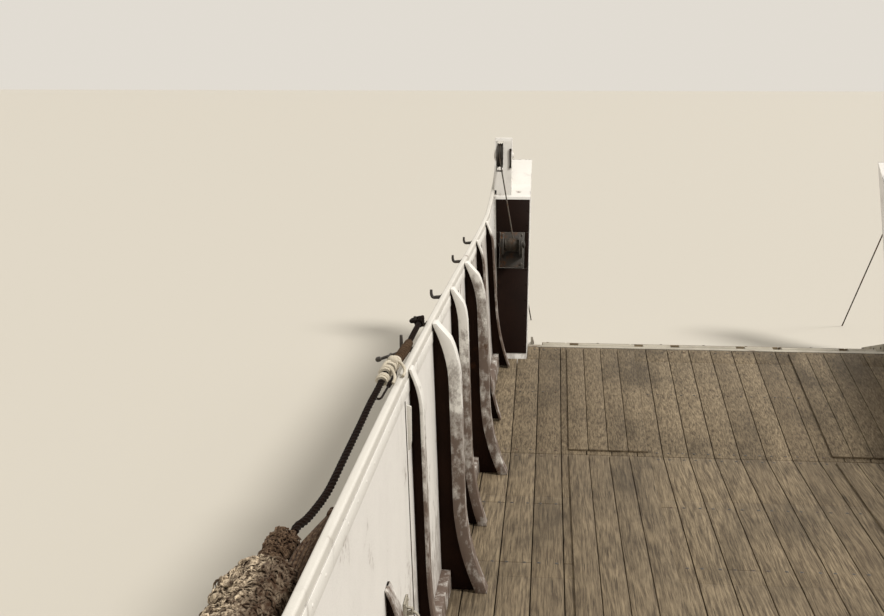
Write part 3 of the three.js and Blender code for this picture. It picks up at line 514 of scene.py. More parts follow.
class SharedGroup:
    """A shader node group that is built once, on its first use.

    It takes and gives the named sockets of each type. The names hold no spaces.
    """

    name = ""
    takes: dict[Socket, str] = {}
    gives: dict[Socket, str] = {}

    def tree(self) -> bpy.types.NodeTree:
        """Builds the group if it isn't there yet.

        Returns:
            The group.
        """
        found = bpy.data.node_groups.get(self.name)
        if found:
            return found
        group = bpy.data.node_groups.new(self.name, "ShaderNodeTree")
        for way, sockets in (("INPUT", self.takes), ("OUTPUT", self.gives)):
            for kind, labels in sockets.items():
                for label in labels.split():
                    group.interface.new_socket(name=label, in_out=way, socket_type=kind.value)
        start = group.nodes.new("NodeGroupInput")
        end = group.nodes.new("NodeGroupOutput")
        for label, socket in self.fill(Tree(group), start.outputs).items():
            group.links.new(socket, end.inputs[label])
        return group

    def fill(self, tree: Tree, given: object) -> dict[str, object]:
        """Builds the group's nodes.

        Args:
            tree: The group's tree.
            given: What it takes.

        Returns:
            What it gives, by name.
        """
        raise NotImplementedError

    def use(self, tree: Tree, **values: object) -> object:
        """Places the group in a material.

        Args:
            tree: The material's tree.
            values: The group's inputs.

        Returns:
            The outputs of the group node.
        """
        node = tree.add("Group")
        node.node_tree = self.tree()
        tree.feed(node, values)
        return node.outputs


class SteelWear(SharedGroup):
    """Weathering of coated steel: mottling, streaks, chipped edges and rust, with grime and painted shade in its
    corners.
    """

    name = "steel wear"
    takes = {Socket.COLOUR: "Coat Bare Rust Grime", Socket.NUMBER: "Mottle Chips Rusting Streaks Dirt"}
    gives = {Socket.COLOUR: "Color", Socket.NUMBER: "Roughness Metal Height"}

    def fill(self, tree: Tree, given: object) -> dict[str, object]:
        """Builds the group's nodes.

        Args:
            tree: The group's tree.
            given: What it takes.

        Returns:
            What it gives, by name.
        """
        place = tree.place()
        broad = tree.noise(place, 0.8, 3)
        middle = tree.noise(place, 4.5, 6, 0.6)
        fine = tree.noise(place, 38, 5, 0.6)
        speck = tree.noise(place, 240, 2)
        streak = tree.noise(tree.stretch(place, (7, 7, 0.55)), 1.6, 6, 0.6)
        bevel = tree.add("Bevel", {"Radius": 0.007}, samples=4)
        plain = tree.add("NewGeometry").outputs["Normal"]
        facing = tree.add("VectorMath", {0: bevel.outputs[0], 1: plain}, operation="DOT_PRODUCT").outputs[1]
        edge = tree.span(tree.minus(1.0, facing), 0.01, 0.22)
        chips = tree.span(tree.plus(tree.times(edge, given["Chips"]), fine), 0.86, 0.94)
        spots = tree.span(tree.plus(middle, tree.times(given["Rusting"], 0.3)), 0.7, 0.82)
        spots = tree.times(spots, tree.span(fine, 0.35, 0.6))
        run = tree.times(tree.span(streak, 0.53, 0.74), tree.span(broad, 0.4, 0.62))
        run = tree.times(run, given["Streaks"], clamp=True)
        # Grime where ambient occlusion finds corners and joins: dirt and painted shade, scaled by Dirt.
        corner = tree.span(tree.hollow(0.16), 0.1, 0.85)
        corner = tree.times(corner, tree.span(middle, 0.2, 0.75, (0.5, 1.0)))
        corner = tree.times(corner, given["Dirt"], clamp=True)
        patch = tree.times(tree.span(middle, 0.38, 0.68), given["Mottle"])
        colour = tree.mix(patch, given["Coat"], given["Grime"])
        lift = tree.times(tree.span(speck, 0.4, 0.7), 0.08)
        colour = tree.mix(lift, colour, given["Bare"])
        colour = tree.mix(tree.times(run, 0.55), colour, given["Grime"])
        colour = tree.mix(tree.times(run, tree.span(fine, 0.4, 0.7)), colour, given["Rust"])
        colour = tree.mix(corner, colour, given["Grime"])
        colour = tree.mix(spots, colour, given["Rust"])
        colour = tree.mix(chips, colour, given["Bare"])
        rough = tree.plus(0.46, tree.times(middle, 0.24))
        rough = tree.plus(rough, tree.times(spots, 0.22))
        rough = tree.plus(rough, tree.times(corner, 0.15), clamp=True)
        height = tree.plus(tree.times(speck, 0.12), tree.times(fine, 0.3))
        height = tree.minus(height, tree.times(chips, 0.6))
        height = tree.plus(height, tree.times(spots, 0.5))
        return {"Color": colour, "Roughness": rough, "Metal": tree.times(chips, 0.7), "Height": height}


class LowScuffs(SharedGroup):
    """Scuffed and dirty patches that thicken downwards, as wear leaves on the well's sides, and near the bow reach
    almost to the rail as dirt and painted shade.
    """

    name = "low scuffs"
    takes = {Socket.COLOUR: "Color Scuff", Socket.NUMBER: "Foot Head Amount"}
    gives = {Socket.COLOUR: "Color"}

    def fill(self, tree: Tree, given: object) -> dict[str, object]:
        """Builds the group's nodes.

        Args:
            tree: The group's tree.
            given: What it takes.

        Returns:
            What it gives, by name.
        """
        place = tree.place()
        parts = tree.axes(place)
        ends = {"From Min": given["Head"], "From Max": given["Foot"]}
        below = tree.add("MapRange", {"Value": parts["Z"], **ends}).outputs[0]
        # Near the bow the patches rise almost to the rail: dirt and painted shade inside the bow.
        bow_dirt_and_shade = tree.times(tree.span(parts["Y"], 3.3, 4.2), tree.span(parts["Y"], 5.3, 5.2))
        bow_dirt_and_shade = tree.times(bow_dirt_and_shade, tree.span(parts["Z"], 1.46, 1.4))
        below = tree.plus(below, bow_dirt_and_shade, clamp=True)
        patch = tree.noise(tree.stretch(place, (1, 1, 0.6)), 21, 6, 0.7)
        broad = tree.times(tree.noise(place, 4, 3), 0.3)
        patch = tree.plus(tree.times(patch, 0.8), broad)
        patch = tree.plus(patch, tree.times(below, 0.22))
        mask = tree.plus(tree.span(patch, 0.58, 0.7, (0, 0.62)), tree.span(patch, 0.68, 0.8, (0, 0.38)))
        mask = tree.times(mask, tree.span(below, 0.0, 0.25))
        mask = tree.times(mask, given["Amount"], clamp=True)
        return {"Color": tree.mix(mask, given["Color"], given["Scuff"])}


class FoulingBand(SharedGroup):
    """The hull's wet and weedy band at the waterline, over the coat above and below it."""

    name = "fouling band"
    takes = {Socket.COLOUR: "Color Weed Slime", Socket.NUMBER: "Level"}
    gives = {Socket.COLOUR: "Color"}

    def fill(self, tree: Tree, given: object) -> dict[str, object]:
        """Builds the group's nodes.

        Args:
            tree: The group's tree.
            given: What it takes.

        Returns:
            What it gives, by name.
        """
        place = tree.place()
        height = tree.axes(place)["Z"]
        over = tree.minus(height, given["Level"])
        ragged = tree.times(tree.noise(place, 6, 5, 0.65), 0.22)
        mask = tree.span(tree.minus(ragged, over), 0.0, 0.12)
        mask = tree.times(mask, tree.span(tree.noise(place, 30, 4), 0.25, 0.6, (0.55, 1.0)))
        mask = tree.plus(mask, tree.span(over, 0.04, -0.1), clamp=True)
        growth = tree.mix(tree.span(tree.noise(place, 7, 6, 0.7), 0.38, 0.62), given["Weed"], given["Slime"])
        return {"Color": tree.mix(mask, given["Color"], growth)}


class WoodGrain(SharedGroup):
    """Planks in rows across a vector's x, with the grain along its y."""

    name = "wood grain"
    takes = {Socket.VECTOR: "Vector", Socket.COLOUR: "Dark Light Soil", Socket.NUMBER: "Width Dirt"}
    gives = {Socket.COLOUR: "Color", Socket.NUMBER: "Roughness Height"}

    def fill(self, tree: Tree, given: object) -> dict[str, object]:
        """Builds the group's nodes.

        Args:
            tree: The group's tree.
            given: What it takes.

        Returns:
            What it gives, by name.
        """
        across = tree.axes(given["Vector"])["X"]
        row = tree.math("FLOOR", tree.math("DIVIDE", across, given["Width"]))
        chance = tree.add("TexWhiteNoise", {"W": row}, noise_dimensions="1D").outputs["Value"]
        shift = tree.add("CombineXYZ", {"X": 0.0, "Y": tree.times(chance, 37.0), "Z": chance}).outputs[0]
        moved = tree.add("VectorMath", {0: given["Vector"], 1: shift}, operation="ADD").outputs[0]
        wave = tree.noise(tree.stretch(moved, (6, 0.7, 6)), 2.2, 4)
        bent = tree.add("VectorMath", {
            0: tree.stretch(moved, (1, 0.045, 1)),
            1: tree.add("CombineXYZ", {"X": tree.times(wave, 0.05)}).outputs[0],
        }, operation="ADD").outputs[0]
        grain = tree.noise(bent, 120, 6, 0.65)
        split = tree.span(tree.noise(tree.stretch(moved, (1, 0.02, 1)), 190, 3, 0.5), 0.63, 0.72)
        colour = tree.mix(tree.span(grain, 0.3, 0.72), given["Dark"], given["Light"])
        colour = tree.mix(tree.times(chance, 0.38), colour, given["Dark"])
        colour = tree.mix(tree.times(split, 0.75), colour, given["Soil"])
        worn = tree.noise(tree.stretch(given["Vector"], (1, 0.6, 1)), 2.6, 7, 0.65)
        worn = tree.times(tree.span(worn, 0.42, 0.72), given["Dirt"], clamp=True)
        colour = tree.mix(worn, colour, given["Soil"])
        rough = tree.plus(0.66, tree.times(grain, 0.22))
        height = tree.minus(tree.times(grain, 0.6), tree.times(split, 0.8))
        return {"Color": colour, "Roughness": rough, "Height": height}


class FibreLay(SharedGroup):
    """Fibres of rope and cordage, with painted shade between the strands and a painted shadow of the hull near its
    side.
    """

    name = "fibre lay"
    takes = {Socket.COLOUR: "Dark Light", Socket.NUMBER: "Scale Clumps Depth"}
    gives = {Socket.COLOUR: "Color", Socket.NUMBER: "Height"}

    def fill(self, tree: Tree, given: object) -> dict[str, object]:
        """Builds the group's nodes.

        Args:
            tree: The group's tree.
            given: What it takes.

        Returns:
            What it gives, by name.
        """
        place = tree.place()
        fibre = tree.noise(tree.stretch(place, (1.0, 0.35, 1.0)), given["Scale"], 5, 0.7)
        clump = tree.noise(place, given["Clumps"], 4, 0.65)
        colour = tree.mix(tree.span(fibre, 0.32, 0.7), given["Dark"], given["Light"])
        dark = tree.times(tree.span(clump, 0.49, 0.58), given["Depth"])
        colour = tree.mix(dark, colour, given["Dark"])
        # Painted shade between the strands, where ambient occlusion finds hollows.
        colour = tree.mix(tree.span(tree.hollow(0.02), 0.45, 1.1), colour, given["Dark"])
        # Painted shadow of the hull: darker near the hull's side and lower down, with a ragged edge; Depth sets it
        # with the dark clumps.
        parts = tree.axes(place)
        out = tree.plus(tree.math("ABSOLUTE", parts["X"]), tree.times(clump, 0.08))
        out = tree.plus(out, tree.times(tree.minus(parts["Z"], 1.39), 0.6))
        beside = tree.times(tree.span(out, 1.84, 1.79), given["Depth"])
        colour = tree.mix(beside, colour, given["Dark"])
        return {"Color": colour, "Height": fibre}


def shade(hex_code: str) -> Colour:
    """Turns a hex colour into linear values.

    Args:
        hex_code: Six hex digits.

    Returns:
        Red, green, blue and an alpha of 1.
    """
    parts = [int(hex_code[i : i + 2], 16) / 255 for i in (0, 2, 4)]
    red, green, blue = (p / 12.92 if p <= 0.04045 else ((p + 0.055) / 1.055) ** 2.4 for p in parts)
    return red, green, blue, 1.0


@dataclass(frozen=True)
class Finish:
    """A surface finish: its name, the record's slot it belongs to, and how it is built."""

    name: str
    slot: str

    def material(self) -> bpy.types.Material:
        """Builds the finish's material on its first use.

        Returns:
            The material.
        """
        found = bpy.data.materials.get(self.name)
        if found:
            return found
        made = bpy.data.materials.new(self.name)
        made.use_nodes = True
        self.dress(Tree(made.node_tree), made.node_tree.nodes["Principled BSDF"])
        return made

    def dress(self, tree: Tree, shader: bpy.types.Node) -> None:
        """Fills the material's tree before its shader."""
        raise NotImplementedError


@dataclass(frozen=True)
class Steel(Finish):
    """Painted, oiled or rusty steel."""

    coat: str = "cfc8b8"
    bare: str = "6b655c"
    rust: str = "5f4028"
    grime: str = "4c4438"
    mottle: float = 0.25
    chips: float = 0.4
    rusting: float = 0.3
    streaks: float = 0.5
    # dirt sets the grime and painted shade in corners.
    dirt: float = 0.7
    relief: float = 0.5
    metallic: float = 0.0
    shine: float = 0.5
    scuffs: float = 0.0
    scuff: str = "604b3a"
    scuff_span: tuple[float, float] = (0.7, 1.42)
    fouled: bool = False
    outer: "Steel | None" = None

    def amounts(self) -> dict[str, float]:
        """Gives how much each kind of wear shows."""
        return {key: getattr(self, key.lower()) for key in ("Mottle", "Chips", "Rusting", "Streaks", "Dirt")}

    def dress(self, tree: Tree, shader: bpy.types.Node) -> None:
        """Fills the material's tree, with the outer finish on faces that look away from the middle.

        Args:
            tree: The tree.
            shader: Its shader.
        """
        coat, amounts, scuffs, outside = shade(self.coat), self.amounts(), self.scuffs, 1.0
        if self.outer:
            toward = tree.axes(tree.add("TexCoord").outputs["Normal"])["X"]
            across = tree.axes(tree.place())["X"]
            outside = tree.span(tree.times(toward, across), 0.4, 0.8)
            coat = tree.mix(outside, coat, shade(self.outer.coat))
            there = self.outer.amounts()
            for key, value in amounts.items():
                amounts[key] = tree.span(outside, 0, 1, (value, there[key]))
            scuffs = tree.span(outside, 0, 1, (scuffs, 0))
        bare, rust, grime = shade(self.bare), shade(self.rust), shade(self.grime)
        worn = SteelWear().use(tree, Coat=coat, Bare=bare, Rust=rust, Grime=grime, **amounts)
        colour = worn["Color"]
        if self.scuffs:
            foot, head = self.scuff_span
            colour = LowScuffs().use(
                tree, Color=colour, Scuff=shade(self.scuff), Foot=foot, Head=head, Amount=scuffs,
            )["Color"]
        if self.fouled:
            weedy = FoulingBand().use(
                tree, Color=colour, Weed=shade("2b291f"), Slime=shade("4a4332"), Level=WATERLINE / 1000,
            )["Color"]
            colour = tree.mix(outside, colour, weedy)
        tree.feed(shader, {
            "Base Color": colour, "Roughness": worn["Roughness"], "Specular IOR Level": self.shine,
            "Metallic": self.metallic or worn["Metal"],
            "Normal": tree.bump(worn["Height"], self.relief, 0.002),
        })


@dataclass(frozen=True)
class Timber(Finish):
    """Bare or worn planks. The rows lie across x, or across y where it is turned."""

    dark: str = "4e4233"
    light: str = "9a8a70"
    soil: str = "2f281f"
    width: float = 0.146
    dirt: float = 0.55
    turned: bool = False

    def dress(self, tree: Tree, shader: bpy.types.Node) -> None:
        """Fills the material's tree.

        Args:
            tree: The tree.
            shader: Its shader.
        """
        place = tree.place()
        if self.turned:
            parts = tree.axes(place)
            place = tree.add("CombineXYZ", {"X": parts["Y"], "Y": parts["X"], "Z": parts["Z"]}).outputs[0]
        wood = WoodGrain().use(
            tree, Vector=place, Width=self.width, Dark=shade(self.dark), Light=shade(self.light),
            Soil=shade(self.soil), Dirt=self.dirt,
        )
        tree.feed(shader, {
            "Base Color": wood["Color"], "Roughness": wood["Roughness"], "Specular IOR Level": 0.3,
            "Normal": tree.bump(wood["Height"], 0.6, 0.0025),
        })


@dataclass(frozen=True)
class Fibre(Finish):
    """Rope and cordage."""

    dark: str = "1d1610"
    light: str = "4f4132"
    scale: float = 380.0
    clumps: float = 9.0
    # depth sets the dark clumps and the painted hull shadow.
    depth: float = 0.4

    def dress(self, tree: Tree, shader: bpy.types.Node) -> None:
        """Fills the material's tree.

        Args:
            tree: The tree.
            shader: Its shader.
        """
        lay = FibreLay().use(
            tree, Dark=shade(self.dark), Light=shade(self.light), Scale=self.scale, Clumps=self.clumps,
            Depth=self.depth,
        )
        tree.feed(shader, {
            "Base Color": lay["Color"], "Roughness": 0.92, "Sheen Weight": 0.05,
            "Specular IOR Level": 0.05, "Normal": tree.bump(lay["Height"], 0.8, 0.0015),
        })


HULL_PAINT = Steel("hull paint", "hull_paint", coat="d3cec3", fouled=True, mottle=0.16, streaks=0.65)
SIDE_PAINT = Steel(
    "side paint", "hull_paint", coat="efece6", scuffs=0.5, scuff_span=(0.3, 0.95), mottle=0.06,
    streaks=0.3, dirt=0.35, fouled=True, outer=HULL_PAINT,
)
FRAME_PAINT = Steel(
    "frame paint", "hull_paint", coat="eeebe4", scuffs=0.92, scuff="523b2b", scuff_span=(0.92, 1.4),
    mottle=0.06, chips=0.22, dirt=0.25,
)
RAIL_PAINT = Steel(
    "rail paint", "hull_paint", coat="d8d4cb", mottle=0.06, chips=0.3, streaks=0.15, dirt=0.12,
)
# Near-black paint on the frames' webs and angle bars: painted shade for the webs' shaded aft faces.
WEB_SHADE_PAINT = Steel(
    "web paint", "dark_steel", coat="2a180f", bare="4d3b2d", rust="3d2719", grime="170c07", mottle=0.5,
    shine=0.08,
)
# Near-black plates on the raked box's aft face and the post's guide bar: painted shade.
PAINTED_SHADE_PLATE = Steel(
    "tarred plate", "dark_steel", coat="1b0e08", bare="38251a", rust="2c1a10", grime="100704",
    mottle=0.5, chips=0.3, relief=0.8, shine=0.08,
)
GEAR_PAINT = Steel("gear paint", "hull_paint", coat="b4ad9d", mottle=0.3, chips=0.6)
BOTTOM_PAINT = Steel("bottom paint", "bottom_paint", coat="5a3d33", grime="2c261f", mottle=0.55, fouled=True)
DECK_PAINT = Steel(
    "deck paint", "deck_paint", coat="8f897b", mottle=0.45, rusting=0.5, chips=0.6, relief=0.9,
)
DARK_STEEL = Steel(
    "dark steel", "dark_steel", coat="37322c", bare="77716a", grime="1c1916", rusting=0.6, chips=0.55,
    streaks=0.3, relief=0.7,
)
WIRE_STEEL = Steel(
    "wire steel", "dark_steel", coat="4a453e", bare="8a847b", rusting=0.7, metallic=0.6, chips=0.3,
)
RUSTY_STEEL = Steel(
    "rusty steel", "dark_steel", coat="4a3a2e", rust="6e4426", rusting=1.0, mottle=0.6, relief=1.0,
)
BRONZE = Steel(
    "cast bronze", "bronze", coat="7d6536", bare="b59a5e", rust="3f5547", grime="33301f", metallic=0.85,
)
PLANKS = Timber("floor planks", "timber")
CROSS_PLANKS = Timber("cross planks", "timber", turned=True, width=0.205, dirt=0.7)
HELM_WOOD = Timber("helm wood", "timber", dark="3a2616", light="7c5a38", width=1.0, dirt=0.25)
ROPE = Fibre("fender rope", "rope", dark="0b0502", light="26150c")
BUSHY_ROPE = Fibre("bushy rope", "rope", dark="3d2c20", light="e6d3b6", scale=90.0, clumps=46.0, depth=0.78)
FRAYED_ROPE = Fibre("frayed rope", "rope", dark="2a1a11", light="86705a", scale=200.0, clumps=60.0)
SERVING = Fibre("rope serving", "rope", dark="35271c", light="80674f", scale=320.0)
PALE_CORD = Fibre("pale cord", "rope", dark="b3a892", light="f6f1e6", scale=520.0)


# Meshes


class Form:
    """Gathers closed shells into one mesh."""

    def __init__(self) -> None:
        """Starts with an empty mesh."""
        self.mesh = bmesh.new()

    def skin(self, rings: Sequence[Line], closed: bool = False) -> "Form":
        """Joins outlines in order.

        Args:
            rings: Outlines with the same number of points.
            closed: Whether the last one joins the first, or else both ends get a face.

        Returns:
            This form.
        """
        made = [[self.mesh.verts.new(p) for p in ring] for ring in rings]
        pairs = list(zip(made, made[1:]))
        if closed:
            pairs.append((made[-1], made[0]))
        count = len(made[0])
        for a, b in pairs:
            for i in range(count):
                j = (i + 1) % count
                self.mesh.faces.new((a[i], a[j], b[j], b[i]))
        if not closed:
            self.mesh.faces.new(made[0][::-1])
            self.mesh.faces.new(made[-1])
        return self

    def box(self, x: Point, s: Point, z: Point) -> "Form":
        """Adds a box between two values of x, in any order, and two of s and z."""
        return self.skin([upright(at, *sorted(x), *z) for at in s])

    def tube(self, line: Line, radius: float | Sequence[float], sides: int = 10) -> "Form":
        """Adds a round bar along a line.

        Args:
            line: The points it follows.
            radius: One radius, or one for each point.
            sides: Number of its sides.

        Returns:
            This form.
        """
        points = [Vector(p) for p in line]
        radii = [radius] * len(points) if isinstance(radius, (int, float)) else list(radius)
        return self.skin([
            [p + (u * cos(a) + v * sin(a)) * r for a in angles(sides)]
            for p, (u, v), r in zip(points, cross_frames(points), radii)
        ])

    def ring(
        self, centre: Point, normal: Point, radius: float, thick: float,
        sides: int = 8, steps: int = 28,
    ) -> "Form":
        """Adds a round ring of round bar.

        Args:
            centre: Its centre.
            normal: Direction of its axis.
            radius: From the centre to the bar's middle.
            thick: The bar's radius.
            sides: Number of the bar's sides.
            steps: Number of its lengths round the ring.

        Returns:
            This form.
        """
        middle, axis = Vector(centre), Vector(normal).normalized()
        u = axis.orthogonal().normalized()
        v = axis.cross(u)
        rings = []
        for a in angles(steps):
            out = u * cos(a) + v * sin(a)
            rings.append([
                middle + out * (radius + thick * cos(b)) + axis * thick * sin(b) for b in angles(sides)
            ])
        return self.skin(rings, closed=True)

    def turned(self, profile: Line, base: Point, axis: Point, sides: int = 24) -> "Form":
        """Adds a body turned round an axis.

        Args:
            profile: Radius and height of each ring, from the base.
            base: Where the height is 0.
            axis: Direction of the height.
            sides: Number of its sides.

        Returns:
            This form.
        """
        start, up = Vector(base), Vector(axis).normalized()
        u = up.orthogonal().normalized()
        v = up.cross(u)
        return self.skin([
            [start + up * h + (u * cos(a) + v * sin(a)) * max(r, 0.4) for a in angles(sides)]
            for r, h in profile
        ])

    def dome(self, place: Point, out: Point, radius: float, rise: float | None = None) -> "Form":
        """Adds the round head of a rivet or bolt.

        Args:
            place: Where it sits.
            out: The way it faces.
            radius: Its radius.
            rise: Its height, or None for three fifths of the radius.

        Returns:
            This form.
        """
        r, high = radius, radius * 0.6 if rise is None else rise
        profile = [(r, -r * 0.4), (r, high * 0.25), (r * 0.72, high * 0.78), (r * 0.25, high)]
        return self.turned(profile, place, out, 8)

    def nut(self, place: Point, out: Point, r: float) -> "Form":
        """Adds a hexagonal nut with its bolt's end."""
        self.turned([(r, -1), (r, r * 0.8)], place, out, 6)
        return self.turned([(r * 0.5, 0), (r * 0.5, r * 1.25), (r * 0.3, r * 1.4)], place, out, 8)

    def nuts(self, xs: Sequence[float], stations: Sequence[float], z: float, r: float) -> "Form":
        """Adds upright nuts at each x of each station.

        Args:
            xs: Their places across the craft.
            stations: Their places along it.
            z: Their foot.
            r: Their radius.

        Returns:
            This form.
        """
        for x in xs:
            for s in stations:
                self.nut((x, s, z), UP, r)
        return self

    def plate(self, outline: Line, shift: Point) -> "Form":
        """Adds a plate from a flat outline and the way to its other face."""
        first = [Vector(p) for p in outline]
        return self.skin([first, [p + Vector(shift) for p in first]])

    def put(self, matrix: Matrix, since: int = 0) -> "Form":
        """Moves what has been gathered, or only what came after so many points."""
        bmesh.ops.transform(self.mesh, matrix=matrix, verts=list(self.mesh.verts)[since:])
        return self

    def made(
        self, name: str, finish: Finish, body: Body | None = Body.HULL, replaces: str = "",
        bevel: float = 0.0, smooth: float = 32.0,
    ) -> bpy.types.Object:
        """Turns the form into a piece of the craft.

        Args:
            name: The piece's name.
            finish: Its surface finish.
            body: The body that it moves with, or None for a piece that is blended between two.
            replaces: The CAD node that it stands for, if any.
            bevel: Width of the rounded edges.
            smooth: Edges sharper than this angle in degrees stay sharp, or are rounded.

        Returns:
            The piece.
        """
        bmesh.ops.recalc_face_normals(self.mesh, faces=self.mesh.faces)
        if bevel:
            limit = radians(smooth)
            sharp = [e for e in self.mesh.edges if e.is_manifold and e.calc_face_angle(0.0) > limit]
            bmesh.ops.bevel(
                self.mesh, geom=sharp, offset=bevel, segments=2, profile=0.5, affect="EDGES",
                clamp_overlap=True,
            )
        self.put(Matrix.Scale(0.001, 4) @ Matrix.Translation((0, -MIDDLE, 0)))
        data = bpy.data.meshes.new(name)
        self.mesh.to_mesh(data)
        self.mesh.free()
        data.polygons.foreach_set("use_smooth", [True] * len(data.polygons))
        data.set_sharp_from_angle(angle=radians(smooth))
        data.materials.append(finish.material())
        piece = show(name, data)
        if body:
            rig.ride(piece, body.value)
        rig.slot(piece, finish.slot)
        if replaces:
            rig.replaces(piece, replaces)
        log.info("%s: %d faces", name, len(data.polygons))
        return piece


# Camera, lights and floor


@dataclass
class Studio:
    """The camera of the photograph's view, the lights and the pale floor at the waterline."""

    eye: Point = (-1119.0, 4665.0, 2553.0)
    yaw: float = 0.0896
    pitch: float = 0.2046
    lens: float = 48.62
    sky: float = 0.42
    sky_seen: float = 0.86
    # s and the hull's half breadth at the waterline, just inside its outer face.
    outline: Line = (
        (2560, 900), (2700, 1340), (3000, 1455), (3300, 1540), (4000, 1566), (5200, 1569), (8600, 1571),
        (9600, 1559), (10600, 1539), (11300, 1520), (12300, 1474), (12774, 1245),
    )

    def build(self) -> None:
        """Makes the camera, the lights and the floor."""
        self.make_camera()
        self.make_floor()
        self.make_lights()

    def make_camera(self) -> None:
        """Sets the camera where the photograph was taken."""
        data = bpy.data.cameras.new("camera")
        data.lens = self.lens
        data.sensor_width = 36
        data.clip_start = 0.05
        data.clip_end = 500
        camera = show("camera", data)
        camera.location = metres(*self.eye)
        camera.rotation_euler = (pi / 2 - self.pitch, 0, self.yaw)
        bpy.context.scene.camera = camera

    def make_floor(self) -> None:
        """Lays the floor round the hull, open where the hull stands in it."""
        reach = 90000.0
        mesh = bmesh.new()
        outline = self.outline

        def face(*corners: tuple[float, float]) -> None:
            """Adds one level face from x and s of its corners."""
            mesh.faces.new([mesh.verts.new(metres(x, s, WATERLINE)) for x, s in corners])

        first, last = outline[0][0], outline[-1][0]
        face((-reach, -reach), (reach, -reach), (reach, first), (-reach, first))
        face((-reach, last), (reach, last), (reach, reach), (-reach, reach))
        for (s0, x0), (s1, x1) in zip(outline, outline[1:]):
            face((x0, s0), (reach, s0), (reach, s1), (x1, s1))
            face((-reach, s0), (-x0, s0), (-x1, s1), (-reach, s1))
        bmesh.ops.remove_doubles(mesh, verts=mesh.verts, dist=1e-5)
        data = bpy.data.meshes.new("floor")
        mesh.to_mesh(data)
        mesh.free()
        material = bpy.data.materials.new("studio floor")
        material.use_nodes = True
        shader = material.node_tree.nodes["Principled BSDF"]
        Tree(material.node_tree).feed(shader, {"Base Color": shade("c4bfb4"), "Roughness": 0.85})
        data.materials.append(material)
        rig.stage(show("floor", data))

    def make_lights(self) -> None:
        """Sets the key light to starboard, a weak one ahead and one to port, and an even sky."""
        for name, azimuth, height, strength, spread in (
            ("key light", 112, 48, 2.8, 14), ("side light", 35, 38, 0.8, 50),
            ("far light", 285, 40, 0.8, 50),
        ):
            data = bpy.data.lights.new(name, "SUN")
            data.energy = strength
            data.angle = radians(spread)
            data.color = (1.0, 0.968, 0.922)
            a, e = radians(azimuth), radians(height)
            toward = Vector((sin(a) * cos(e), cos(a) * cos(e), sin(e)))
            show(name, data).rotation_euler = toward.to_track_quat("Z", "Y").to_euler()
        world = bpy.data.worlds.new("sky")
        world.use_nodes = True
        tree = Tree(world.node_tree)
        seen = tree.add("LightPath").outputs["Is Camera Ray"]
        bright = tree.add("MapRange", {"Value": seen, "To Min": self.sky, "To Max": self.sky_seen})
        background = world.node_tree.nodes["Background"]
        tree.feed(background, {"Color": shade("f1ebe1"), "Strength": bright.outputs[0]})
        bpy.context.scene.world = world
        bpy.context.scene.view_settings.view_transform = "Standard"


# Ropes and fenders


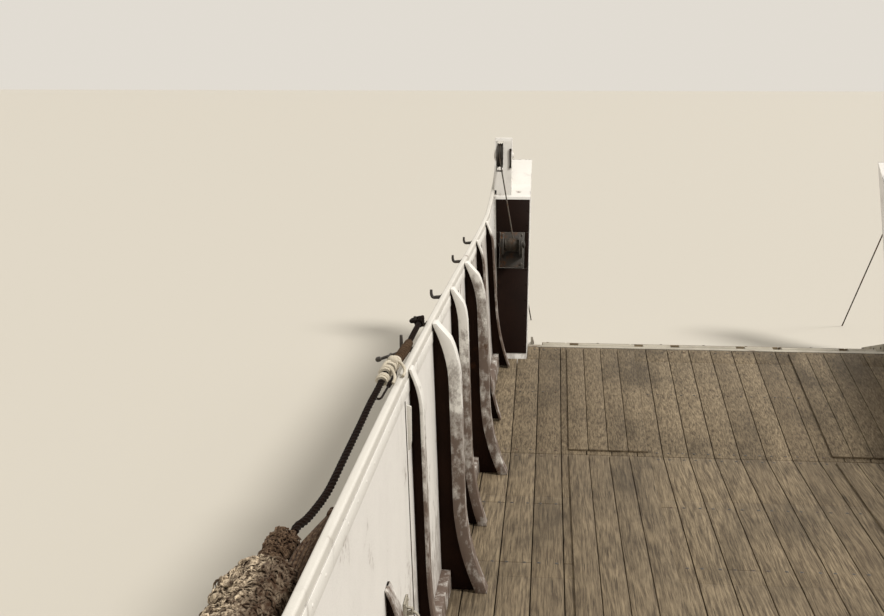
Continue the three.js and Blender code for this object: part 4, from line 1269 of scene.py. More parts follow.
@dataclass
class FenderRope:
    """The laid rope from the gunwale to the port fender, its lashing and its loose tail."""

    diameter: float = 22.0
    lay_length: float = 66.0
    strands: int = 3
    route: Line = (
        (-1632, 9460, 1512), (-1636, 9200, 1508), (-1638, 8950, 1507), (-1642, 8750, 1516),
        (-1648, 8620, 1525), (-1654, 8520, 1525), (-1661, 8385, 1508), (-1668, 8236, 1495),
        (-1674, 8118, 1477), (-1681, 7989, 1458), (-1687, 7867, 1442), (-1692, 7770, 1428),
        (-1697, 7672, 1417), (-1704, 7565, 1416), (-1714, 7449, 1421), (-1723.4, 7400, 1425),
        (-1723.4, 7360.5, 1425),
    )
    line: list[Vector] = field(init=False)

    def __post_init__(self) -> None:
        """Draws the rope's line through its route."""
        self.line = smooth_line(self.route, 6)

    def build(self) -> None:
        line = self.line
        rope = self.laid().made("fender_rope_laid", ROPE, replaces="fender_rope", smooth=80)
        extras = [self.lash(), self.serve(), self.eye(), self.tail()]
        path = [metres(*p) for p in line]
        length = sum((b - a).length for a, b in zip(line, line[1:])) / 1000
        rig.cord(
            rope, exit=path[0], length=round(length, 4), diameter=self.diameter / 1000, far_end="object",
            stiffness="medium", lay="hanging", path=path, with_pieces=extras,
        )
        log.info("fender rope: %.3f m long", length)

    def laid(self) -> Form:
        """Twists the rope's strands along its line.

        Returns:
            The rope's form.
        """
        line, count = self.line, self.strands
        radius = self.diameter / 2 + 0.5
        centre = radius * 0.54
        small = radius - centre
        travelled = 0.0
        rings = []
        for i, (point, (u, v)) in enumerate(zip(line, cross_frames(line))):
            if i:
                travelled += (point - line[i - 1]).length
            twist = 2 * pi * travelled / self.lay_length
            ring = []
            for a in angles(count * 6):
                off = (a + pi / count) % (2 * pi / count) - pi / count
                inside = max(small**2 - (centre * sin(off)) ** 2, 0.0)
                r = max(centre * cos(off) + sqrt(inside), radius * 0.8)
                ring.append(point + (u * cos(a + twist) + v * sin(a + twist)) * r)
            rings.append(ring)
        return Form().skin(rings)

    def lash(self) -> bpy.types.Object:
        """Winds pale cord round the rope where it is held to the gunwale.

        Returns:
            The lashing.
        """
        form = Form()
        for low, high, turns, reach in (
            (8436, 8478, 3, 15.0), (8500, 8548, 3, 17.5), (8566, 8632, 4, 19.0), (8650, 8694, 3, 16.0),
        ):
            self.wind(form, self.line, low, high, turns, reach, 7.2)
        for end in (
            [(-1640, 8604, 1546), (-1622, 8612, 1540), (-1604, 8596, 1526), (-1597, 8568, 1514),
             (-1600, 8540, 1507)],
            [(-1646, 8592, 1547), (-1660, 8570, 1546), (-1668, 8540, 1534), (-1670, 8516, 1518)],
            [(-1646, 8520, 1544), (-1628, 8500, 1534), (-1618, 8470, 1518), (-1622, 8446, 1508)],
        ):
            form.tube(smooth_line(end, 4), 5.6, 7)
        knot = [(6, -15), (14, -11), (18, 0), (14, 11), (6, 15)]
        form.turned(knot, (-1643, 8600, 1547), (0.6, 1, -0.1), 12)
        return form.made("rope_lashing", PALE_CORD, smooth=60)

    def wind(
        self, form: Form, rope: Sequence[Vector], low: float, high: float, turns: int, reach: float,
        radius: float,
    ) -> None:
        """Winds cord round a stretch of a rope.

        Args:
            form: The form it goes into.
            rope: The rope's line.
            low: The stretch's aft end.
            high: Its fore end.
            turns: Number of turns.
            reach: From the rope's middle to the cord's.
            radius: The cord's radius.
        """
        line = [p for p in rope if low < p.y < high]
        frames = cross_frames(line)
        steps = 12
        coil = []
        for i in range(turns * steps + 1):
            t = i / (turns * steps) * (len(line) - 1)
            k = min(int(t), len(line) - 2)
            u, v = frames[k]
            a = 2 * pi * i / steps
            off = reach + 0.11 * reach * sin(i * 0.37)
            coil.append(line[k].lerp(line[k + 1], t - k) + (u * cos(a) + v * sin(a)) * off)
        form.tube(coil, radius, 5)

    def serve(self) -> bpy.types.Object:
        """Wraps the rope in thin cord where it lies over the cleat.

        Returns:
            The wrapping.
        """
        form = Form()
        self.wind(form, self.line, 8700, 9035, 54, 13.0, 3.3)
        self.wind(form, self.line, 8740, 8960, 20, 15.6, 3.3)
        return form.made("rope_serving", SERVING, smooth=60)

    def eye(self) -> bpy.types.Object:
        """Ends the rope in an eye round its hook, seized at the throat.

        Returns:
            The eye with its seizing.
        """
        form = Form()
        loop = [
            (-1631, 9440, 1512), (-1638, 9470, 1510), (-1652, 9486, 1504), (-1670, 9482, 1499),
            (-1678, 9462, 1497), (-1672, 9440, 1499), (-1656, 9424, 1504), (-1640, 9405, 1508),
            (-1634, 9385, 1509),
        ]
        form.tube(smooth_line(loop, 5), 8.0, 10)
        self.wind(form, self.line, 9340, 9408, 12, 13.5, 2.9)
        return form.made("rope_eye", ROPE, smooth=60)

    def tail(self) -> bpy.types.Object:
        """Leaves the rope's loose tail lying along the rail, with a turned end.

        Returns:
            The tail.
        """
        line = smooth_line([
            (-1634, 8600, 1512), (-1630, 8556, 1507), (-1631, 8500, 1505), (-1633, 8430, 1505),
            (-1636, 8340, 1504), (-1638, 8285, 1504), (-1643, 8268, 1505), (-1650, 8266, 1506),
        ], 5)
        form = Form()
        form.tube(line, [7.0 if p.y > 8425 else 3.6 for p in line], 10)
        self.wind(form, line, 8420, 8470, 7, 5.5, 2.2)
        return form.made("rope_tail", ROPE, smooth=60)


@dataclass
class RopeFender:
    """A bushy rope fender over the side: a lumpy body of matted tufts and a dark knot at each end."""

    side: Side
    centre_s: float = 6885.0
    centre_x: float = 1723.4
    z: float = 1425.0
    length: float = 950.0
    radius: float = 110.0
    knot_radius: float = 37.0
    body: tuple[float, float] = (-330.0, 322.0)
    sag: tuple[float, float] = (8.0, -38.0)
    slope: float = 0.26
    tufts: int = 3000
    wisps: int = 480

    def build(self) -> None:
        """Makes the body, the knots and the lanyards."""
        chance = random.Random(11 if self.side is Side.PORT else 12)
        place = Matrix.Translation((self.side.value * self.centre_x, self.centre_s, self.z))
        low, high = self.body
        body = Form()
        self.add_core(body, low, high, 150, 100)
        for _ in range(self.tufts):
            s = chance.uniform(low + 4, high - 4)
            base = self.surface(s, chance.uniform(0, 2 * pi), low, high, self.body_size(s))
            self.add_tuft(body, chance, base)
        hang = Matrix.Translation((self.side.value * self.sag[0], 0, self.sag[1]))
        body.put(hang @ place)
        body.made(f"rope_fender_{self.side}", BUSHY_ROPE, replaces=f"fender_{self.side}", smooth=75)
        knots = Form()
        for near, far, out in ((high - 30, self.length / 2 - 2, 17.0), (low + 30, 2 - self.length / 2, 8.0)):
            since = len(knots.mesh.verts)
            low_end, high_end = sorted((near, far))
            self.add_core(knots, low_end, high_end, 36, 36, self.knot_radius)
            for _ in range(self.wisps):
                s = chance.uniform(low_end + 3, high_end - 3)
                base = self.surface(s, chance.uniform(0, 2 * pi), low_end, high_end, self.knot_radius)
                self.add_tuft(knots, chance, base, 1.3)
            way = 1 if far > near else -1
            lean = Matrix.Identity(4)
            lean[0][1] = -0.1 * way * self.side.value
            lean[2][1] = self.slope * way
            start = Matrix.Translation((0, far, 0))
            drop = Matrix.Translation((self.side.value * out, 0, -15))
            knots.put(drop @ place @ start @ lean @ start.inverted(), since)
        self.add_lanyards(knots)
        knots.made(f"fender_knots_{self.side}", FRAYED_ROPE, smooth=75)

    def body_size(self, s: float) -> float:
        """Gives the body's radius at a length: two swellings with a waist where it is bound."""
        return 93 + 6 * cos(2 * pi * (s - 170) / 330)

    def surface(self, s: float, a: float, low: float, high: float, size: float) -> Vector:
        """Gives a point on a lumpy body with rounded ends.

        Args:
            s: Length from the fender's middle.
            a: Angle round it.
            low: The body's aft end.
            high: Its fore end.
            size: Its radius away from the ends.

        Returns:
            The point, from the fender's middle.
        """
        end = min(min(s - low, high - s) / (size * (2.2 if size > 60 else 1.25)), 1.0)
        r = size * sqrt(max(1 - (1 - end) ** 2, 0.004))
        base = Vector((r * cos(a), s, r * sin(a)))
        near, far = noise.voronoi(base / 40.0)[0][:2]
        clump = min(far - near, 0.7) - 0.25
        swell = noise.noise(base / 75.0)
        r = min(r * (1 + 0.12 * swell) + 16.0 * clump + 3 * noise.noise(base / 11.0), self.radius - 4)
        r = max(r, 3.0)
        return Vector((r * cos(a), s, r * sin(a)))

    def add_core(
        self, form: Form, low: float, high: float, rows: int, sides: int, size: float = 0.0,
    ) -> None:
        """Adds a lumpy body between two lengths.

        Args:
            form: The form it goes into.
            low: Its aft end.
            high: Its fore end.
            rows: Number of rings.
            sides: Number of points in a ring.
            size: Its radius, or 0 for the fender's body.
        """
        rings = []
        for i in range(rows + 1):
            s = low + (high - low) * (0.5 - 0.5 * cos(pi * (0.04 + 0.92 * i / rows)))
            wide = size or self.body_size(s)
            rings.append([self.surface(s, a, low, high, wide) for a in angles(sides)])
        form.skin(rings)

    def add_tuft(self, form: Form, chance: random.Random, base: Vector, reach: float = 1.0) -> None:
        """Adds one curled end of yarn that stands out of the surface.

        Args:
            form: The form it goes into.
            chance: Source of its shape.
            base: Where it starts.
            reach: How far it may stand out, against the others.
        """
        out = Vector((base.x, 0, base.z))
        out = out.normalized() if out.length > 1 else Vector(FORWARD)
        lean = Vector([chance.uniform(-1, 1) for _ in range(3)])
        lean = (lean - out * lean.dot(out)).normalized()
        turn = out.cross(lean)
        long = chance.uniform(15, 27) * reach
        curl = chance.uniform(-0.7, 0.7)
        thick = chance.uniform(2.0, 3.8)
        points = []
        for i in range(4):
            t = i / 3
            rise = 8.5 * reach * sin(pi * min(t * 0.8 + 0.08, 1)) - 4
            point = base + out * rise + lean * (long * (t - 0.35)) + turn * (curl * long * t * t)
            flat = hypot(point.x, point.z)
            if flat >= self.radius:
                x, z = point.x / flat * self.radius, point.z / flat * self.radius
                point = Vector((x, point.y, z))
            points.append(point)
        form.tube(points, [thick, thick, thick * 0.8, thick * 0.45], 5)

    def add_lanyards(self, form: Form) -> None:
        """Adds the bundles of rope from both knots along the hull up to the eyes below the rail.

        Args:
            form: The form they go into.
        """
        sign = self.side.value
        # Five dark ropes to each bundle: real lanyards that also stand in for the shadow between the fender and the
        # hull.
        for way in (1, -1):
            end = self.centre_s + way * self.length / 2
            hull = side_x(end, 1478)
            for k in range(5):
                line = smooth_line([
                    (sign * (hull + 26 + 13 * k), end - way * 430, 1420 - 4 * k),
                    (sign * (hull + 23 + 13 * k), end - way * 260, 1440 - 5 * k),
                    (sign * (hull + 21 + 12 * k), end - way * 140, 1458 - 5 * k),
                    (sign * (hull + 17 + 6 * k), end - way * 60, 1472 - 3 * k),
                    (sign * (hull + 14), end + way * 10, 1480),
                ], 14)
                form.tube(line, [11 - 7 * (i / (len(line) - 1)) ** 2 for i in range(len(line))], 8)
            form.ring((sign * (hull + 13), end + way * 10, 1480), (0.3, 1, 0), 8, 3.5, 8, 20)
            seizing = [(8, 0), (11, 3), (11, 15), (8, 18)]
            form.turned(seizing, (sign * (hull + 15), end - way * 16, 1478), (0, way, 0.1), 14)


# The well's sides and floor


@dataclass(frozen=True)
class FrameKind:
    """How one kind of side frame is built."""

    reach: float = 36.0
    rise: float = 130.0
    face: float = 12.0
    wide: float = 66.0
    web: float = 10.0
    knee: float = 60.0
    lower: float = 0.0


LIGHT = FrameKind()
SHORT = FrameKind(lower=480)
MEDIUM = FrameKind(rise=150, face=43, wide=72, web=12)
DEEP = FrameKind(reach=62, rise=230, face=50, wide=80, web=14, knee=84)


@dataclass
class SideFrames:
    """The frames along one side of the well, with their stringers and rivets."""

    side: Side
    knee_height: float = 420.0
    places: tuple[tuple[float, FrameKind], ...] = (
        (5700, LIGHT), (6450, DEEP), (7200, SHORT), (7950, SHORT), (8700, LIGHT), (9450, DEEP),
        (10200, MEDIUM), (10950, DEEP), (11700, LIGHT), (12450, LIGHT),
    )

    def build(self) -> None:
        """Makes both lengths of frames."""
        for word, low, high in (("aft", WELL_AFT + 50, FRAME_SPLIT - 1), ("fore", FRAME_SPLIT + 1, 12860)):
            faces, webs = Form(), Form()
            for s, kind in self.places:
                if low < s < high:
                    self.add_frame(faces, webs, s, kind)
            self.add_stringers(faces, low, high)
            flip = self.side.flip
            faces.put(flip).made(
                f"frames_{word}_{self.side}", FRAME_PAINT, bevel=3.0, smooth=38,
                replaces=f"side_frames_{word}_{self.side}",
            )
            # The webs take near-black paint that stands in for their shade.
            webs.put(flip).made(f"frame_webs_{word}_{self.side}", WEB_SHADE_PAINT, bevel=1.0, smooth=38)
            self.add_rivets(word, low, high)

    def depth(self, kind: FrameKind, drop: float, height: float) -> float:
        """Gives how far a frame's edge stands in from the plating.

        Args:
            kind: The frame's kind.
            drop: Depth below the frame's top.
            height: The frame's whole height.

        Returns:
            The distance.
        """
        t = min(drop / (kind.rise + 25), 1.0)
        u = max((drop - height + self.knee_height) / self.knee_height, 0.0)
        return kind.reach * (1 - (1 - t) ** 2) + kind.knee * u**2

    def edge(self, s: float, kind: FrameKind) -> tuple[list[tuple[float, float]], float, float]:
        """Gives a frame's inner edge.

        Args:
            s: The frame's place.
            kind: How it is built.

        Returns:
            x and z along the edge, then the heights of the frame's top and foot.
        """
        top = sheer_z(s) + CAP_T - 2 - kind.lower
        foot = floor_z(s + kind.wide / 2) + FLOOR_T + 1
        height = top - foot
        drops = [height * (i / 30) ** 1.25 for i in range(31)]
        line = [(wall_x(s, top - d) - self.depth(kind, d, height), top - d) for d in drops]
        return line, top, foot

    def add_frame(self, faces: Form, webs: Form, s: float, kind: FrameKind) -> None:
        """Adds one frame: its web, the facing along the web's edge and the angle bar at the plating.

        Args:
            faces: The form of the facings.
            webs: The form of the webs.
            s: The frame's place.
            kind: How it is built.
        """
        line, top, foot = self.edge(s, kind)
        half = kind.wide / 2
        under = sheer_z(s) - 1.5
        beside = side_x(s, sheer_z(s)) - CAP_IN - 1
        walls = [(wall_x(s, z) if z < under else beside) for _, z in line]
        rings = []
        for (x, z), wall in zip(line, walls):
            near = min(x, wall)
            inner = near - max(kind.face * min(0.35 + (top - z) / 110, 1.0), 10)
            rings.append(level(z, near, inner, s - half, s + half))
        faces.skin(rings)
        w = kind.web / 2
        webs.skin([
            level(z, x - 1, wall, s - w, s + w) for (x, z), wall in zip(line, walls) if x - 1 < wall - 1.5
        ])
        bar = [(wall_x(s, z), z) for z in (min(under, top), (min(under, top) + foot) / 2, foot)]
        webs.skin([level(z, x, x - 7, s + w, s + w + 34) for x, z in bar])

    def add_stringers(self, form: Form, low: float, high: float) -> None:
        """Adds the flat bar under the cap and the bar along the floor.

        Args:
            form: The form they go into.
            low: Their aft end.
            high: Their fore end.
        """
        stations = [low, *[row[0] for row in SIDE_TABLE if low < row[0] < high], high]
        for thick, base, foot, head in (
            (2.5, sheer_z, -54, -4), (40, floor_z, FLOOR_T + 1, FLOOR_T + 90),
        ):
            rings = []
            for s in stations:
                a, b = base(s) + foot, base(s) + head
                x, y = wall_x(s, a), wall_x(s, b)
                rings.append([(x, s, a), (y, s, b), (y - thick, s, b), (x - thick, s, a)])
            form.skin(rings)

    def add_rivets(self, word: str, low: float, high: float) -> None:
        """Adds the rivets of the facings and of the bar under the cap.

        Args:
            word: The length's name.
            low: Its aft end.
            high: Its fore end.
        """
        form = Form()
        for s, kind in self.places:
            if not low < s < high:
                continue
            line = self.edge(s, kind)[0]
            for offset in (-kind.wide / 2 + 14, kind.wide / 2 - 14):
                for x, z in line[6:-1:3]:
                    form.dome((x - kind.face, s + offset, z), (-1, 0, 0.1), 6, 1.4)
        s = low + 40
        while s < high - 40:
            if all(abs(s - at) > 50 for at, _ in self.places):
                z = sheer_z(s) - 29
                form.dome((wall_x(s, z, 2.5), s, z), (-1, 0, 0), 5.5, 1.6)
            s += 150
        form.put(self.side.flip).made(f"frame_rivets_{word}_{self.side}", FRAME_PAINT, smooth=60)


@dataclass
class SidePlating:
    """Seams, weld beads and lashing eyes on the side plating."""

    side: Side
    seams: Sequence[float] = (6080.0, 8560.0, 10580.0, 12060.0)
    eyes: Sequence[float] = (6075, 7575, 8325, 9825, 11325)
    eye_z: float = 760.0

    def build(self) -> None:
        """Makes the inside seams, the outside weld beads, the eyes and the board."""
        inner, outer = Form(), Form()
        for s in self.seams:
            low, high = floor_z(s) + FLOOR_T + 92, sheer_z(s) - 56
            levels = [low + (high - low) * i / 4 for i in range(5)]
            wall = [(wall_x(s, z, 0.3), z) for z in levels]
            inner.skin([
                [(x, s - 3, z), (x, s + 3, z), (x - 2.5, s + 2, z), (x - 2.5, s - 2, z)] for x, z in wall
            ])
            skin = [(side_x(s, z) + 0.3, z) for z in (sheer_z(s) - 6, 1215, 1115, 800, floor_z(s) + 8)]
            outer.tube([(x, s, z) for x, z in skin], 3.2, 6)
        stations = [WELL_AFT + 20, 6500, 8600, 9600, 10600, 11300, 12300, 12760]
        outer.tube([(side_row(s)[0] + 0.4, s, side_row(s)[1]) for s in stations], 5, 6)
        flip = self.side.flip
        inner.put(flip).made(f"plating_seams_{self.side}", DARK_STEEL)
        outer.put(flip).made(f"hull_welds_{self.side}", HULL_PAINT, smooth=60)
        self.add_lashing_eyes()
        if self.side is Side.PORT:
            self.add_board()

    def add_board(self) -> None:
        """Adds the short pale board beside the frame where the rope is made fast."""
        corners = ((-1597, 1388), (-1580, 1380), (-1579, 1256), (-1584, 1226), (-1595, 1222))
        outline = [(x, 8606, z) for x, z in corners]
        Form().plate(outline, (0, 14, 0)).made("frame_board", RAIL_PAINT, bevel=1.5)

    def add_lashing_eyes(self) -> None:
        """Adds rings for lashings on the plating between the frames."""
        form = Form()
        z = self.eye_z
        for s in self.eyes:
            x = wall_x(s, z)
            form.box((x - 8, x), (s - 40, s + 40), (z - 40, z + 40))
            staple = ((-6, -12), (-26, -10), (-26, 10), (-6, 12))
            form.tube([(x + a, s, z + b) for a, b in staple], 6, 8)
            form.ring((x - 24, s, z - 26), FORWARD, 24, 5)
            for a in (-28, 28):
                for b in (-28, 28):
                    form.dome((x - 8, s + a, z + b), (-1, 0, 0), 6)
        form.put(self.side.flip).made(f"lashing_eyes_{self.side}", GEAR_PAINT, smooth=50)


@dataclass
class GunwaleRail:
    """The rounded cap of one gunwale, its hooks and the horned cleat."""

    side: Side
    hooks: Sequence[float] = (9460, 10050, 11050, 11700)
    horn: float = 9050.0
    aft: float = 700.5

    def build(self) -> None:
        """Makes the cap and what is on it."""
        rail = Form()
        rows = [self.aft, *[row[0] for row in SIDE_TABLE if self.aft + 1 < row[0] < 13600]]
        stations = sorted({*rows, *(s + 0.5 * (t - s) for s, t in zip(rows, rows[1:]))})
        end = 13600.0
        for _ in range(12):
            end = rake_s(sheer_z(end) + CAP_T / 2)
        rings = [self.section(s, lambda z, s=s: s) for s in stations if s < end - 60]
        rings.append(self.section(end, lambda z: rake_s(z) - 0.5))
        rail.skin(rings)
        flip = self.side.flip
        rail.put(flip).made(
            f"gunwale_rail_{self.side}", RAIL_PAINT, replaces=f"gunwale_cap_{self.side}", smooth=40,
        )
        gear = Form()
        for s in self.hooks:
            self.add_hook(gear, s)
        self.add_horn(gear)
        gear.put(flip).made(f"rail_hooks_{self.side}", DARK_STEEL, bevel=1.6, smooth=40)

    def section(self, s: float, at: Callable[[float], float]) -> list[Point]:
        """Gives the cap's outline at a station.

        Args:
            s: The station.
            at: Gives a point's own s from its height.

        Returns:
            The outline's points.
        """
        x, z = side_row(s)[2:]
        inner, outer, low, high = x - CAP_IN, x + CAP_OUT, z + 0.3, z + CAP_T
        r = 8.0
        points = [(inner, low), (outer - 4, low), (outer, low + 5)]
        for middle, start in ((outer - r, 0), (inner + r, 1)):
            for i in range(5):
                a = pi / 2 * (start + i / 4)
                points.append((middle + r * cos(a), high - r + r * sin(a)))
        return [(px, at(pz), pz) for px, pz in points]

    def add_hook(self, form: Form, s: float) -> None:
        """Adds one hook with its tip turned up.

        Args:
            form: The form it goes into.
            s: Its place.
        """
        x, z = side_row(s)[2:]
        bends = ((9, 13), (30, 12), (50, 12), (57, 24), (58, 47))
        line = smooth_line([(x + a, s, z + b) for a, b in bends], 4)
        form.tube(line, [9.5 - 3.5 * i / (len(line) - 1) for i in range(len(line))], 12)
        form.box((x + 8.5, x + 13), (s - 17, s + 17), (z + 2, z + 25))

    def add_horn(self, form: Form) -> None:
        """Adds the cleat with its long horn, its prong and its cross bar.

        Args:
            form: The form it goes into.
        """
        x, z = side_row(self.horn)[2:]
        s = self.horn
        form.tube([(x + 8, s, z + 11), (x + 80, s, z - 13), (x + 148, s, z - 36)], [9, 7, 5.5], 12)
        knob = [(4, -12), (9, -8), (10.5, 0), (9, 8), (4, 12)]
        form.turned(knob, (x + 147, s, z - 35), (3, 0, -1), 16)
        form.tube([(x + 58, s, z - 4), (x + 59, s, z + 30), (x + 60, s, z + 62)], [8, 7, 5.5], 12)
        cross = ((-36, -22), (0, -21), (36, -22))
        form.tube([(x + 104, s + a, z + b) for a, b in cross], [5, 7, 5], 12)


@dataclass
class WellFloor:
    """Floor planks of the well and of its rise to the ramp, with their fastenings and wheel tracks."""

    board: float = 146.0
    seam: float = 5.0
    beam: float = 745.0
    aft: float = WELL_AFT + 41

    def build(self) -> None:
        """Makes both floors."""
        chance = random.Random(5)
        self.lay("floor_planks", "well_floor", self.aft, FLOOR_BREAK - 0.5, chance)
        self.lay("bow_planks", "bow_floor", FLOOR_BREAK + 0.5, SILL - 1, chance)

    def half(self, s: float) -> float:
        """Gives the floor's half breadth at s."""
        wide = wall_x(s, floor_z(s), 1.5)
        return wide if s < CHEEK_FOOT else min(wide, GATE - 1.5)

    def lay(self, name: str, node: str, low: float, high: float, chance: random.Random) -> None:
        """Lays one floor.

        Args:
            name: The piece's name.
            node: The CAD node that it stands for.
            low: Its aft end.
            high: Its fore end.
            chance: Source of the joints' places.
        """
        boards, nails = Form(), Form()
        rows = ceil(self.half(self.aft) / self.board)
        count = int((high - low - 290) // self.beam) + 1
        beams = [*(low + 45 + i * self.beam for i in range(count)), high - 45]
        for k in range(-rows, rows):
            x0, x1 = k * self.board + self.seam / 2, (k + 1) * self.board - self.seam / 2
            joints = [low, *sorted(chance.sample(beams[1:-1], min(2, max(len(beams) - 3, 0)))), high]
            for a, b in zip(joints, joints[1:]):
                self.add_board(boards, x0, x1, a + 2, b - 2, chance.uniform(-1.2, 0.0))
            for s in beams:
                for x in (x0 + 30, x1 - 30):
                    if 1 < abs(x) < self.half(s) - 20 and not self.tracked(x, s):
                        nail = [(9, -3), (9, 0.8), (5, 1.6)]
                        nails.turned(nail, (x, s, floor_z(s) + FLOOR_T - 1), UP, 8)
        for side in (1, -1):
            wide = (TRACK_OUT - TRACK_IN) / 4
            for i in range(4):
                x0 = TRACK_IN + i * wide
                rings = []
                for s in (max(low + 40, TRACK_AFT), high - 40):
                    z = floor_z(s) + FLOOR_T
                    edges = (side * (x0 + 2), side * (x0 + wide - 2))
                    rings.append(upright(s, *edges, z - 1, z + TRACK_T))
                boards.skin(rings)
        boards.made(name, PLANKS, replaces=node, bevel=2.2)
        nails.made(f"{name}_bolts", DARK_STEEL)

    def tracked(self, x: float, s: float) -> bool:
        """Tells whether a wheel track covers a place."""
        return TRACK_IN - 12 < abs(x) < TRACK_OUT + 12 and s > TRACK_AFT - 10

    def add_board(self, form: Form, x0: float, x1: float, low: float, high: float, sink: float) -> None:
        """Adds one plank, trimmed to the hull's side.

        Args:
            form: The form it goes into.
            x0: Its port edge.
            x1: Its starboard edge.
            low: Its aft end.
            high: Its fore end.
            sink: Height of its top over the floor's, 0 or less.
        """
        bends = (9600, 10600, CHEEK_FOOT - 2, CHEEK_FOOT + 2)
        cuts = sorted({low, high, *(s for s in bends if low < s < high)})
        for a, b in zip(cuts, cuts[1:]):
            near, far = ((a + b) / 2, b) if b - a < 10 else (a + 1, b - 1)
            rings = []
            for s, at in ((a, near), (b, far)):
                inside, z = self.half(at), floor_z(s)
                left, right = max(x0, -inside), min(x1, inside)
                if right - left >= 12:
                    rings.append(upright(s, left, right, z + 1, z + FLOOR_T + sink))
            if len(rings) == 2:
                form.skin(rings)


@dataclass
class WellFittings:
    """The bulkhead's ladder and the boarding step."""

    def build(self) -> None:
        """Makes the ladder and the step."""
        form = Form()
        aft, fore = WELL_AFT + 31, WELL_AFT + 150
        for x in (-902, -498):
            for z in (680, 1250):
                form.tube([(x, aft, z), (x, fore - 30, z), (x, fore - 17, z)], 9, 10)
                form.turned([(26, 0), (26, 6)], (x, aft, z), FORWARD, 16)
            form.box((x - 7, x + 7), (fore - 34, fore), (661, 1269))
        for z in (740, 950, 1160):
            form.tube([(-902, fore - 17, z), (-498, fore - 17, z)], 13, 14)
        form.made("ladder", GEAR_PAINT, replaces="well_ladder", bevel=1.5)

        step = Form()
        back, seat = WELL_AFT + 43, 619
        for i in range(4):
            s = back + i * 94.5
            step.box((-650, 650), (s, s + 90), (582, seat))
        for x0, x1 in ((-648, -604), (604, 648)):
            step.box((x0, x1), (back, back + 375), (322, 581))
        step.box((-604, 604), (back, back + 43), (361, 581))
        step.box((-604, 604), (back, back + 369), (322, 358))
        for x in (-626, 626):
            for along in (37, 137, 227, 327):
                step.dome((x, back + along, seat), UP, 8, 3)
        step.made("boarding_step_planked", CROSS_PLANKS, replaces="boarding_step", bevel=3)


# Bow


